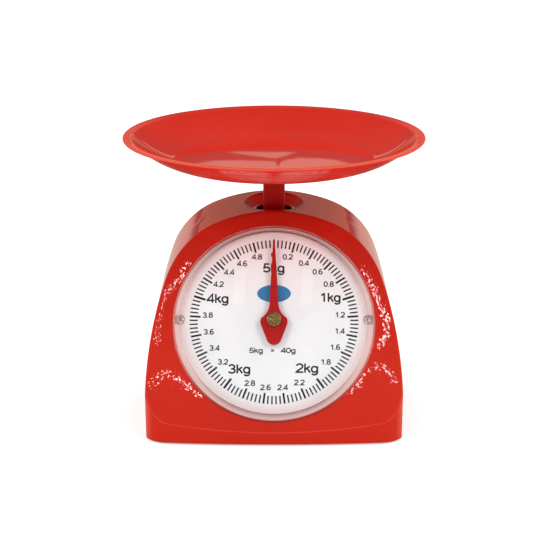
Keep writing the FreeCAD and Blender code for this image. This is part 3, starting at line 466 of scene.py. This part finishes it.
# ------------------------------------------------------------------ tray
OUTER = [(0, 172.8), (20, 172.8), (45, 172.8)] + arc_points((68.0, 172.8), (97.6, 188.7), 62, 1, 28) + \
    [(97.6, 188.7), (100.8, 189.2), (103.2, 189.58)] + arc_points((104.1, 189.7), (105.0, 190.5), 0.9, 1, 6) + \
    arc_points((105.0, 190.5), (104.1, 191.3), 0.9, 1, 6)
INNER = [(104.1, 191.3), (102.0, 191.02), (99.8, 190.73)] + \
    arc_points((98.8, 190.6), (70.5, 175.0), 60, -1, 28) + [(70.5, 175.0), (69.0, 174.97), (40, 174.97), (14, 174.97), (0, 174.97)]
prof = OUTER + INNER
tray = lathe("tray_dish", prof, 288, M["tray_red"], sharp=48)
tray.data.materials.append(M["tray_under"])
inner_r = np.array([q[0] for q in reversed(INNER)])
inner_z = np.array([q[1] for q in reversed(INNER)])
for poly in tray.data.polygons:
    c = poly.center / MM
    if c.z < np.interp(math.hypot(c.x, c.y), inner_r, inner_z) - 0.9:
        poly.material_index = 1
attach(tray, "tray")
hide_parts("tray")


def rounded_loop(hx, hy, r, n=8):
    pts = []
    for cx, cy, a0 in ((hx - r, hy - r, 0), (-(hx - r), hy - r, 90), (-(hx - r), -(hy - r), 180), (hx - r, -(hy - r), 270)):
        for k in range(n + 1):
            a = math.radians(a0 + 90 * k / n)
            pts.append((cx + r * math.cos(a), cy + r * math.sin(a)))
    return pts


def tube(name, outer, inner, z0, z1, mat, roof=None, sharp=35.0):
    """A wall between two loops of the same number of points, from z0 to z1, with an optional closed roof inside at roof."""
    n = len(outer)
    verts = [(x * MM, y * MM, z0 * MM) for x, y in outer] + [(x * MM, y * MM, z1 * MM) for x, y in outer]
    verts += [(x * MM, y * MM, z0 * MM) for x, y in inner]
    zi = z1 if roof is None else roof
    verts += [(x * MM, y * MM, zi * MM) for x, y in inner]
    faces = []
    for k in range(n):
        q = (k + 1) % n
        faces.append((k, q, n + q, n + k))
        faces.append((2 * n + q, 2 * n + k, 3 * n + k, 3 * n + q))
        faces.append((q, k, 2 * n + k, 2 * n + q))
        if roof is None:
            faces.append((n + k, n + q, 3 * n + q, 3 * n + k))
    if roof is not None:
        faces.append(tuple(range(2 * n - 1, n - 1, -1)))
        faces.append(tuple(range(3 * n, 4 * n)))
    return mesh_piece(name, verts, faces, mat, None, sharp)


socket = tube("tray_socket", rounded_loop(10.2, 9.6, 5), rounded_loop(7.85, 7.25, 3.5), 159.8, 173.6, M["tray_red"], roof=168.9)
add_bevel(socket, 0.35, 2)
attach(socket, "tray")
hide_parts("tray")


def block(bm, x0, x1, y0, y1, z0, z1, draft=0.0):
    vs = [bm.verts.new((x * MM, y * MM, z * MM)) for x, y, z in (
        (x0 + draft, y0 + draft, z0), (x1 - draft, y0 + draft, z0), (x1 - draft, y1 - draft, z0), (x0 + draft, y1 - draft, z0),
        (x0, y0, z1), (x1, y0, z1), (x1, y1, z1), (x0, y1, z1))]
    for f in ((0, 3, 2, 1), (4, 5, 6, 7), (0, 1, 5, 4), (1, 2, 6, 5), (2, 3, 7, 6), (3, 0, 4, 7)):
        bm.faces.new([vs[i] for i in f])


def from_bm(name, bm, mat, matrix=None, sharp=35.0):
    bmesh.ops.recalc_face_normals(bm, faces=bm.faces)
    me = bpy.data.meshes.new(name)
    bm.to_mesh(me)
    bm.free()
    me.polygons.foreach_set("use_smooth", [True] * len(me.polygons))
    me.set_sharp_from_angle(angle=math.radians(sharp))
    ob = bpy.data.objects.new(name, me)
    bpy.context.scene.collection.objects.link(ob)
    if matrix is not None:
        ob.matrix_world = matrix
    me.materials.append(mat)
    return ob


bm = bmesh.new()
for s in (-1, 1):
    a, b = sorted((9.6 * s, 34 * s))
    block(bm, a, b, -0.9, 0.9, 167.8, 173.4, 0.15)
    a, b = sorted((9.0 * s, 34 * s))
    block(bm, -0.9, 0.9, a, b, 167.8, 173.4, 0.15)
ribs = from_bm("tray_ribs", bm, M["tray_red"])
add_bevel(ribs, 0.25, 2)
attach(ribs, "tray")
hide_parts("tray")

# ------------------------------------------------------------------ lens
def dome(c0, r0, c1, r1, k):
    """Points of a shallow dome from height c0 at radius r0 to c1 at r1."""
    return [(r0 + (r1 - r0) * i / k, c0 + (c1 - c0) * ((r0 + (r1 - r0) * i / k) ** 2 - r0 ** 2) / (r1 ** 2 - r0 ** 2)) for i in range(k + 1)]


inner_dome = dome(4.6, 0.0, 1.6, 63.4, 12)
outer_dome = dome(3.2, 64.2, 6.4, 0.0, 12)
lens_points = inner_dome + [(66.2, -1.3), (66.6, -1.75), (68.9, -1.75), (68.9, -0.2), (68.4, 0.1), (67.8, 0.15), (65.1, 2.7)] + outer_dome
ni = len(inner_dome)
lens_profile = softened(lens_points, {ni - 1: 0.8, ni: 0.2, ni + 1: 0.2, ni + 2: 0.25, ni + 3: 0.12, ni + 4: 0.2, ni + 5: 0.2, ni + 6: 0.4, ni + 7: 0.5})
lens = lathe("lens_clear", lens_profile, 256, M["clear_lens"], OPEN_M, sharp=60)
lens.visible_shadow = False
lens.visible_diffuse = False
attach(lens, "base")
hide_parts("lens")

# ------------------------------------------------------------------ hub, turned brass
hub_profile = softened([
    (0, 3.05), (2.15, 3.05), (2.15, 4.6), (4.95, 4.6), (4.95, 6.6), (4.3, 7.3), (2.9, 7.3), (2.5, 7.05), (2.1, 7.3),
    (1.5, 7.3), (1.1, 7.1), (0.75, 7.1), (0.75, 7.9), (0.45, 8.0), (0, 8.0)],
    {3: 0.15, 4: 0.3, 5: 0.25, 6: 0.15, 7: 0.15, 8: 0.15, 12: 0.1})
hub = lathe("pointer_hub_turned", hub_profile, 96, M["hub"], DIAL_M, sharp=40)
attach(hub, "pointer")
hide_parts("pointer_hub")

# ------------------------------------------------------------------ springs
WIRE, COIL = 0.45, 2.75


def spring(name, x, y):
    pts = []
    z_top, z_bot = 112.4, 58.6
    turns = 38
    pts += [(0, 0, 119.0), (0, 0, 116.6), (0.25, 0, 114.9), (1.1, 0.3, 113.7)]
    steps = turns * 20
    for k in range(steps + 1):
        a = 2 * math.pi * turns * k / steps
        pts.append((COIL * math.cos(a + 0.4), COIL * math.sin(a + 0.4), z_top + (z_bot - z_top) * k / steps))
    pts += [(1.1, 0.3, 57.3), (0.25, 0, 56.0), (0, 0, 54.2), (0, 0, 51.2)]
    cu = bpy.data.curves.new(name + "_line", "CURVE")
    cu.dimensions = "3D"
    cu.bevel_depth = WIRE * MM
    cu.bevel_resolution = 3
    cu.use_fill_caps = True
    sp = cu.splines.new("POLY")
    sp.points.add(len(pts) - 1)
    for p, q in zip(sp.points, pts):
        p.co = ((x + q[0]) * MM, (y + q[1]) * MM, q[2] * MM, 1)
    tmp = bpy.data.objects.new(name + "_line", cu)
    bpy.context.scene.collection.objects.link(tmp)
    bpy.context.view_layer.update()
    me = bpy.data.meshes.new_from_object(tmp.evaluated_get(bpy.context.evaluated_depsgraph_get()))
    bpy.data.objects.remove(tmp)
    ob = bpy.data.objects.new(name, me)
    bpy.context.scene.collection.objects.link(ob)
    me.materials.clear()
    me.materials.append(M["spring_steel"])
    me.polygons.foreach_set("use_smooth", [True] * len(me.polygons))
    me.set_sharp_from_angle(angle=math.radians(60))
    return ob


for nm, sx in (("spring_left", -30.0), ("spring_right", 30.0)):
    ob = spring(nm + "_coil", sx, -2.6)
    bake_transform(ob)
    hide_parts(nm)

# ------------------------------------------------------------------ dial print
PRINT_LOW, PRINT_TOP = -0.03, 0.035
bm = bmesh.new()
for k in range(125):
    kind = 2 if k % 25 == 0 else 1 if k % 5 == 0 else 0
    length = (5.6, 7.4, 8.3)[kind]
    half = (0.51, 0.67, 0.78)[kind]
    a = 2 * math.pi * k / 125
    u, v = Vector((math.sin(a), math.cos(a))), Vector((math.cos(a), -math.sin(a)))
    r1, r0 = 57.7, 57.7 - length
    cs = [u * r0 - v * half, u * r0 + v * half, u * r1 + v * half, u * r1 - v * half]
    lo = [bm.verts.new((c.x * MM, c.y * MM, PRINT_LOW * MM)) for c in cs]
    hi = [bm.verts.new((c.x * MM, c.y * MM, PRINT_TOP * MM)) for c in cs]
    bm.faces.new(lo)
    bm.faces.new(hi)
    for i in range(4):
        j = (i + 1) % 4
        bm.faces.new((lo[i], lo[j], hi[j], hi[i]))
ticks = from_bm("dial_ticks", bm, M["ink"], DIAL_M)
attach(ticks, "base")

# each number: words, centre x, centre y, figure height, width, all in mm on the dial
NUMBERS = [
    ("0", -0.6, 47.3, 3.7, 2.6),
    ("0.2", 9.5, 45.8, 3.7, 6.9), ("0.4", 20.6, 41.3, 3.7, 6.9), ("0.6", 30.0, 35.1, 3.7, 6.9), ("0.8", 37.6, 26.3, 3.7, 6.9),
    ("1.2", 45.2, 4.6, 3.7, 6.6), ("1.4", 44.9, -6.8, 3.7, 6.6), ("1.6", 41.7, -18.1, 3.7, 6.6), ("1.8", 35.2, -28.4, 3.7, 6.6),
    ("2.2", 17.2, -42.7, 3.7, 7.1), ("2.4", 5.9, -46.1, 3.7, 7.1), ("2.6", -5.7, -46.1, 3.7, 7.1), ("2.8", -16.4, -43.1, 3.7, 7.1),
    ("3.2", -34.7, -28.4, 3.7, 6.9), ("3.4", -40.5, -18.7, 3.7, 6.9), ("3.6", -44.5, -7.4, 3.7, 6.9), ("3.8", -45.3, 4.4, 3.7, 6.9),
    ("4.2", -38.0, 26.3, 3.7, 6.9), ("4.4", -30.8, 34.8, 3.7, 6.9), ("4.6", -21.9, 41.0, 3.7, 6.9), ("4.8", -11.7, 45.8, 3.7, 6.9),
    ("1kg", 38.7, 16.9, 6.3, 14.4), ("2kg", 22.5, -32.7, 6.3, 15.6), ("3kg", -23.5, -33.3, 6.3, 15.4), ("4kg", -38.5, 16.2, 6.3, 15.2),
    ("5kg", -0.1, 37.9, 6.3, 15.2),
    ("5kg", -12.2, -20.4, 3.6, 9.6), ("x", -1.0, -20.4, 3.2, 2.4), ("40g", 9.8, -20.4, 3.6, 10.2),
]


def bow(cx, cy, rx, ry, a0, a1, n=18):
    return [(cx + rx * math.cos(math.radians(a0 + (a1 - a0) * i / n)), cy + ry * math.sin(math.radians(a0 + (a1 - a0) * i / n))) for i in range(n + 1)]


# plain upright figures: centre lines on a body 1 high, with their width and strokes
FIGURES = {
    "0": (0.56, [bow(0.28, 0.5, 0.225, 0.445, 90, 450, 32)[:-1] + ["closed"]]),
    "1": (0.56, [[(0.33, 0.0), (0.33, 0.99)], [(0.33, 0.93), (0.24, 0.83), (0.10, 0.74)]]),
    "2": (0.56, [bow(0.28, 0.70, 0.215, 0.245, 172, -30, 20) + [(0.40, 0.47), (0.25, 0.32), (0.11, 0.18), (0.06, 0.06), (0.53, 0.055)]]),
    "3": (0.56, [bow(0.265, 0.725, 0.195, 0.22, 165, -80, 20) + [(0.215, 0.51)], bow(0.27, 0.285, 0.225, 0.23, 95, -165, 22)]),
    "4": (0.56, [[(0.415, 0.0), (0.415, 0.95), (0.035, 0.30), (0.035, 0.275), (0.55, 0.275)]]),
    "5": (0.56, [[(0.48, 0.94), (0.155, 0.94), (0.095, 0.50)] + bow(0.275, 0.315, 0.225, 0.26, 128, -160, 24)]),
    "6": (0.56, [bow(0.275, 0.305, 0.215, 0.25, 90, 450, 28)[:-1] + ["closed"], bow(0.33, 0.52, 0.27, 0.43, 60, 190, 18) + [(0.06, 0.33)]]),
    "8": (0.56, [bow(0.28, 0.735, 0.185, 0.21, 90, 450, 26)[:-1] + ["closed"], bow(0.28, 0.285, 0.225, 0.235, 90, 450, 28)[:-1] + ["closed"]]),
    ".": (0.28, [[(0.13, 0.0), (0.13, 0.115)]]),
    "k": (0.50, [[(0.10, 0.0), (0.10, 1.0)], [(0.44, 0.70), (0.12, 0.36)], [(0.235, 0.485), (0.465, 0.0)]]),
    "g": (0.56, [bow(0.265, 0.36, 0.20, 0.31, 20, 340, 24), [(0.465, 0.71), (0.465, 0.02)] + bow(0.265, -0.01, 0.20, 0.225, 0, -155, 14)]),
    "x": (0.50, [[(0.05, 0.0), (0.45, 0.55)], [(0.05, 0.55), (0.45, 0.0)]]),
}


def stroke_outline(line, half):
    """The two edges of a pen line of this half width, mitred at its corners."""
    closed = line[-1] == "closed"
    pts = [Vector(p) for p in (line[:-1] if closed else line)]
    n = len(pts)
    left, right = [], []
    for i, p in enumerate(pts):
        a = pts[(i - 1) % n] if closed or i else None
        b = pts[(i + 1) % n] if closed or i < n - 1 else None
        da = (p - a).normalized() if a is not None else (b - p).normalized()
        db = (b - p).normalized() if b is not None else da
        na, nb = Vector((-da.y, da.x)), Vector((-db.y, db.x))
        m = (na + nb)
        m = m.normalized() if m.length > 1e-6 else na
        k = half / max(m.dot(na), 0.45)
        left.append(p + m * k)
        right.append(p - m * k)
    return left, right, closed


bm = bmesh.new()
layer = 0
for words, cx, cy, height, width in NUMBERS:
    total = sum(FIGURES[c][0] for c in words)
    pen = height * (0.095 if height > 5 else 0.104 if height > 3.5 else 0.096)
    sx = width / total
    x = cx - width / 2
    drop = height / 2 if words != "x" else height * 0.3
    for c in words:
        for line in FIGURES[c][1]:
            scaled = [q if q == "closed" else (x + q[0] * sx, cy - drop + q[1] * height) for q in line]
            left, right, closed = stroke_outline(scaled, pen if c != "." else pen * 1.15)
            top = (PRINT_TOP + 0.0006 * (layer % 7)) * MM
            layer += 1
            rows = [[bm.verts.new((q.x * MM, q.y * MM, z)) for q in side] for side in (left, right) for z in (PRINT_LOW * MM, top)]
            ll, lt, rl, rt = rows
            n = len(left)
            for i in range(n if closed else n - 1):
                j = (i + 1) % n
                bm.faces.new((lt[i], rt[i], rt[j], lt[j]))
                bm.faces.new((ll[j], rl[j], rl[i], ll[i]))
                bm.faces.new((ll[i], lt[i], lt[j], ll[j]))
                bm.faces.new((rt[i], rl[i], rl[j], rt[j]))
            if not closed:
                bm.faces.new((ll[0], rl[0], rt[0], lt[0]))
                bm.faces.new((lt[-1], rt[-1], rl[-1], ll[-1]))
        x += FIGURES[c][0] * sx
numbers = from_bm("dial_numbers", bm, M["ink"], DIAL_M)
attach(numbers, "base")

# a plain blue oval in place of any badge
bm = bmesh.new()


def flat_shape(bm, pts, z0, z1):
    lo = [bm.verts.new((x * MM, y * MM, z0 * MM)) for x, y in pts]
    hi = [bm.verts.new((x * MM, y * MM, z1 * MM)) for x, y in pts]
    bm.faces.new(lo)
    bm.faces.new(hi)
    for i in range(len(pts)):
        j = (i + 1) % len(pts)
        bm.faces.new((lo[i], lo[j], hi[j], hi[i]))


flat_shape(bm, [(11.6 * math.cos(2 * math.pi * k / 72), 19.6 + 6.2 * math.sin(2 * math.pi * k / 72)) for k in range(72)], PRINT_LOW, PRINT_TOP)
badge = from_bm("dial_oval", bm, M["blue"], DIAL_M)
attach(badge, "base")

# ------------------------------------------------------------------ floor, light and camera
bm = bmesh.new()
bmesh.ops.create_grid(bm, x_segments=24, y_segments=24, size=6.0)
floor_m = Mat("pale_floor").set(ior=1.45, spec=0.2)
floor_m.color(floor_m.mix(floor_m.range(floor_m.noise(3, 3), 0.3, 0.7, 0, 1), (0.93, 0.93, 0.93), (0.955, 0.955, 0.955)))
floor_m.rough(floor_m.range(floor_m.noise(40, 3), 0.3, 0.7, 0.75, 0.9))
floor_m.b.inputs["Emission Color"].default_value = (1, 1, 1, 1)
floor_m.b.inputs["Emission Strength"].default_value = 0.28
floor = from_bm("floor", bm, floor_m.m)


def area(name, at, to, sx, sy, power, color=(1, 1, 1)):
    li = bpy.data.lights.new(name, "AREA")
    li.shape = "RECTANGLE"
    li.size, li.size_y = sx, sy
    li.energy = power
    li.color = color
    ob = bpy.data.objects.new(name, li)
    bpy.context.scene.collection.objects.link(ob)
    ob.location = at
    ob.rotation_euler = (Vector(to) - Vector(at)).to_track_quat("-Z", "Y").to_euler()
    ob.visible_camera = False
    return ob


world = bpy.data.worlds.new("studio")
bpy.context.scene.world = world
world.use_nodes = True
wt = world.node_tree
bg = wt.nodes["Background"]
bg.inputs[0].default_value = (1, 1, 1, 1)
bg.inputs[1].default_value = 0.55

area("key_left", (-1.5, -1.3, 1.7), (0, 0, 0.1), 0.9, 0.9, 18)
area("key_right", (1.5, -1.3, 1.7), (0, 0, 0.1), 0.9, 0.9, 18)
area("top", (0, 0.6, 2.2), (0, 0, 0.1), 1.4, 1.4, 13)
area("side_left", (-1.9, 0.5, 0.9), (0, 0, 0.1), 1.0, 1.0, 13)
area("side_right", (1.9, 0.5, 0.9), (0, 0, 0.1), 1.0, 1.0, 13)
for li in bpy.context.scene.objects:
    if li.type == "LIGHT":
        li.visible_glossy = False


# What the glossy parts reflect: a soft dome that only reflections see, dim in front and behind, pale towards the table.
def smooth(x, a, b):
    t = min(max((x - a) / (b - a), 0.0), 1.0)
    return t * t * (3 - 2 * t)


def dome_light(d):
    """Brightness and tint of the surroundings in direction d: table below, walls round about, ceiling above."""
    x, y, z = d
    back = smooth(y, -0.2, 0.5)
    shallow = smooth(z, -0.50, -0.31)
    table = 0.05 + (0.01 + 0.56 * shallow) * back
    wall = 0.10 + 0.06 * abs(x)
    strip = 1.1 * smooth(z, 0.06, 0.14) * (1 - smooth(z, 0.30, 0.42)) * (1 - smooth(y, -0.6, -0.2))
    roof = 0.10 + 0.06 * smooth(y, -0.4, 0.2)
    low = smooth(z, -0.02, 0.06)
    high = smooth(z, 0.45, 0.75)
    v = table * (1 - low) + ((wall + strip) * (1 - high) + roof * high) * low
    warm = (1 - low) * back
    return (v * (1 + 0.10 * warm), v * (1 - 0.10 * warm), v * (1 - 0.24 * warm))


def glow(name, strength, attribute=None, tint=(1.0, 1.0, 1.0)):
    m = bpy.data.materials.new(name)
    m.use_nodes = True
    t = m.node_tree
    t.nodes.clear()
    out = t.nodes.new("ShaderNodeOutputMaterial")
    e = t.nodes.new("ShaderNodeEmission")
    e.inputs["Strength"].default_value = strength
    e.inputs["Color"].default_value = (*tint, 1)
    if attribute:
        a = t.nodes.new("ShaderNodeAttribute")
        a.attribute_name = attribute
        t.links.new(a.outputs["Color"], e.inputs["Color"])
    t.links.new(e.outputs[0], out.inputs[0])
    m.cycles.emission_sampling = "NONE"
    return m


def only_reflected(ob):
    ob.visible_camera = False
    ob.visible_diffuse = False
    ob.visible_shadow = False
    ob.visible_transmission = True
    ob.visible_volume_scatter = False
    ob.visible_glossy = True


bm = bmesh.new()
bmesh.ops.create_uvsphere(bm, u_segments=180, v_segments=120, radius=4.5)
sky = from_bm("reflection_dome", bm, glow("dome_glow", 1.0, "light"), sharp=180)
col = sky.data.color_attributes.new("light", "FLOAT_COLOR", "POINT")
vals = []
for v in sky.data.vertices:
    vals += [*dome_light(v.co.normalized()), 1.0]
col.data.foreach_set("color", vals)
only_reflected(sky)
floor.visible_glossy = False

CAM = Vector((0, -1358.74, 486.56))


def card(name, outline, strength, origin, along, normal, far=1000.0, tint=(1.0, 1.0, 1.0), strip=False):
    """A bright card that a flat face mirrors into the camera where outline, in mm on that face, says."""
    pts = []
    mid = None
    for x, b in [(0, 0)] + outline:
        p = origin + Vector((x, 0, 0)) + along * b
        d = (p - CAM).normalized()
        r = d - normal * (2 * d.dot(normal))
        if mid is None:
            mid, plane = p + r * far, -r
            continue
        t = (mid - p).dot(plane) / r.dot(plane)
        pts.append((p + r * t) * MM)
    bm = bmesh.new()
    vs = [bm.verts.new(q) for q in pts]
    if strip:
        for i in range(len(vs) // 2 - 1):
            bm.faces.new([vs[i], vs[i + 1], vs[-2 - i], vs[-1 - i]])
    else:
        bm.faces.new(vs)
        bmesh.ops.triangulate(bm, faces=bm.faces)
    me = bpy.data.meshes.new(name)
    bm.to_mesh(me)
    bm.free()
    ob = bpy.data.objects.new(name, me)
    bpy.context.scene.collection.objects.link(ob)
    me.materials.append(glow(name + "_glow", strength, tint=tint))
    only_reflected(ob)
    ob.visible_transmission = False
    return ob


# four lamps seen in the front face
card("lamp_upper_left", [
    (-58.2, 43.2), (-62.1, 36.2), (-66.4, 29.8), (-71.7, 23.4), (-75.6, 16.2), (-77.7, 10.5), (-78.9, -0.1), (-79.5, -8.5),
    (-79.2, -15.5), (-78.9, -15.4), (-79.2, -8.5), (-78.6, -0.1), (-77.4, 10.4), (-75.3, 16.0), (-71.2, 23.0), (-65.7, 29.3),
    (-61.3, 35.7), (-57.8, 42.9)],
    24.0, OPENING, UP, OUT, strip=True)
card("lamp_lower_left", [
    (-83.0, -44.0), (-80.1, -39.4), (-75.5, -36.4), (-70.4, -35.8), (-65.8, -37.7), (-61.1, -42.2), (-54.9, -47.3),
    (-49.0, -51.0), (-48.7, -50.5), (-54.4, -46.6), (-60.4, -41.4), (-65.3, -36.9), (-70.3, -34.7), (-75.9, -35.4),
    (-80.7, -38.7), (-83.5, -43.7)],
    24.0, OPENING, UP, OUT, strip=True)
card("lamp_upper_right", [
    (59.9, 38.7), (62.7, 34.3), (65.7, 28.6), (68.5, 23.0), (70.9, 17.3), (73.0, 10.2), (75.2, 3.2), (76.8, -3.6),
    (76.2, -9.6), (72.4, -13.0), (68.7, -16.7), (69.0, -17.0), (73.0, -13.7), (77.4, -10.2), (78.3, -3.5), (76.7, 3.7),
    (74.3, 10.7), (71.9, 17.7), (69.3, 23.4), (66.4, 29.0), (63.4, 34.7), (60.2, 38.9)],
    24.0, OPENING, UP, OUT, strip=True)
card("lamp_lower_right", [
    (49.7, -48.6), (54.9, -44.9), (58.4, -41.4), (61.6, -35.9), (65.2, -32.2), (69.7, -30.8), (74.2, -31.4), (77.8, -35.1),
    (82.1, -42.3), (82.6, -42.0), (78.4, -34.7), (74.6, -30.7), (69.7, -30.0), (64.7, -31.4), (60.8, -35.3), (57.7, -40.8),
    (54.4, -44.3), (49.4, -48.1)],
    24.0, OPENING, UP, OUT, strip=True)

# a dim screen before the lens, so that the domed glass mirrors only two soft windows
def screen(name, pts, dist, strength):
    r0 = (OPENING - CAM).normalized()
    r0 = r0 - OUT * (2 * r0.dot(OUT))
    bm = bmesh.new()
    f = bm.faces.new([bm.verts.new((OPENING + r0 * dist + Vector((x, 0, 0)) + UP * b) * MM) for x, b in pts])
    me = bpy.data.meshes.new(name)
    bm.to_mesh(me)
    bm.free()
    ob = bpy.data.objects.new(name, me)
    bpy.context.scene.collection.objects.link(ob)
    me.materials.append(glow(name + "_glow", strength))
    only_reflected(ob)
    ob.visible_transmission = False
    return ob


screen("lens_screen", [(66 * math.cos(2 * math.pi * k / 96), 66 * math.sin(2 * math.pi * k / 96)) for k in range(96)], 100.0, 0.10)
screen("window_left", [(-38.0, 14.0), (-27.0, 12.0), (-25.0, 50.0), (-36.0, 47.0)], 96.0, 1.1)
screen("window_right", [(23.0, 12.0), (35.0, 14.0), (36.0, 47.0), (27.0, 50.0)], 96.0, 1.1)

# pale shapes seen in the floor of the tray
FLOOR_MID, AHEAD, ABOVE = Vector((0, 0, 174.97)), Vector((0, 1, 0)), Vector((0, 0, 1))
card("window_front", [
    (-56.0, -13.0), (-42.4, -8.0), (-24.3, -6.6), (-11.4, -8.4), (-3.4, -9.6), (0.6, -10.4), (3.0, -26.0), (5.0, -11.0), (9.6, -4.0), (18.5, 1.0), (30.7, -0.6), (43.5, -6.0),
    (53.0, -13.5), (62.0, -30.0), (52.1, -59.2), (0.0, -69.0), (-55.4, -59.2), (-64.0, -30.0)], 0.62, FLOOR_MID, AHEAD, ABOVE, far=700.0, tint=(1.0, 0.9, 0.74))
card("window_rear", [
    (-34.0, 19.0), (-24.7, 20.4), (-2.5, 19.0), (16.0, 19.0), (8.0, 7.4), (1.4, -0.6), (-2.4, 0.6), (-11.4, 5.8), (-24.5, 13.6)],
    0.6, FLOOR_MID, AHEAD, ABOVE, far=700.0, tint=(1.0, 0.9, 0.74))

# a pale board low behind, seen in the rounded top of the housing
bm = bmesh.new()
bm.faces.new([bm.verts.new(q) for q in ((-2.5, 0.55, 0.16), (2.5, 0.55, 0.16), (2.5, 0.55, 0.285), (-2.5, 0.55, 0.285))])
board = from_bm("low_board", bm, glow("low_board_glow", 0.32, tint=(1.0, 0.88, 0.66)))
only_reflected(board)

cam = bpy.data.cameras.new("camera")
cam.sensor_width = 36
cam.lens = 2000 * 36 / 550
cam.shift_x = 1 / 550
cam.clip_start, cam.clip_end = 0.05, 50
cam_ob = bpy.data.objects.new("camera", cam)
bpy.context.scene.collection.objects.link(cam_ob)
cam_ob.location = (0, -1.35874, 0.48656)
cam_ob.rotation_euler = (math.radians(90 - 16.26), 0, 0)
bpy.context.scene.camera = cam_ob
bpy.context.scene.view_settings.view_transform = "Standard"
bpy.context.scene.view_settings.look = "None"
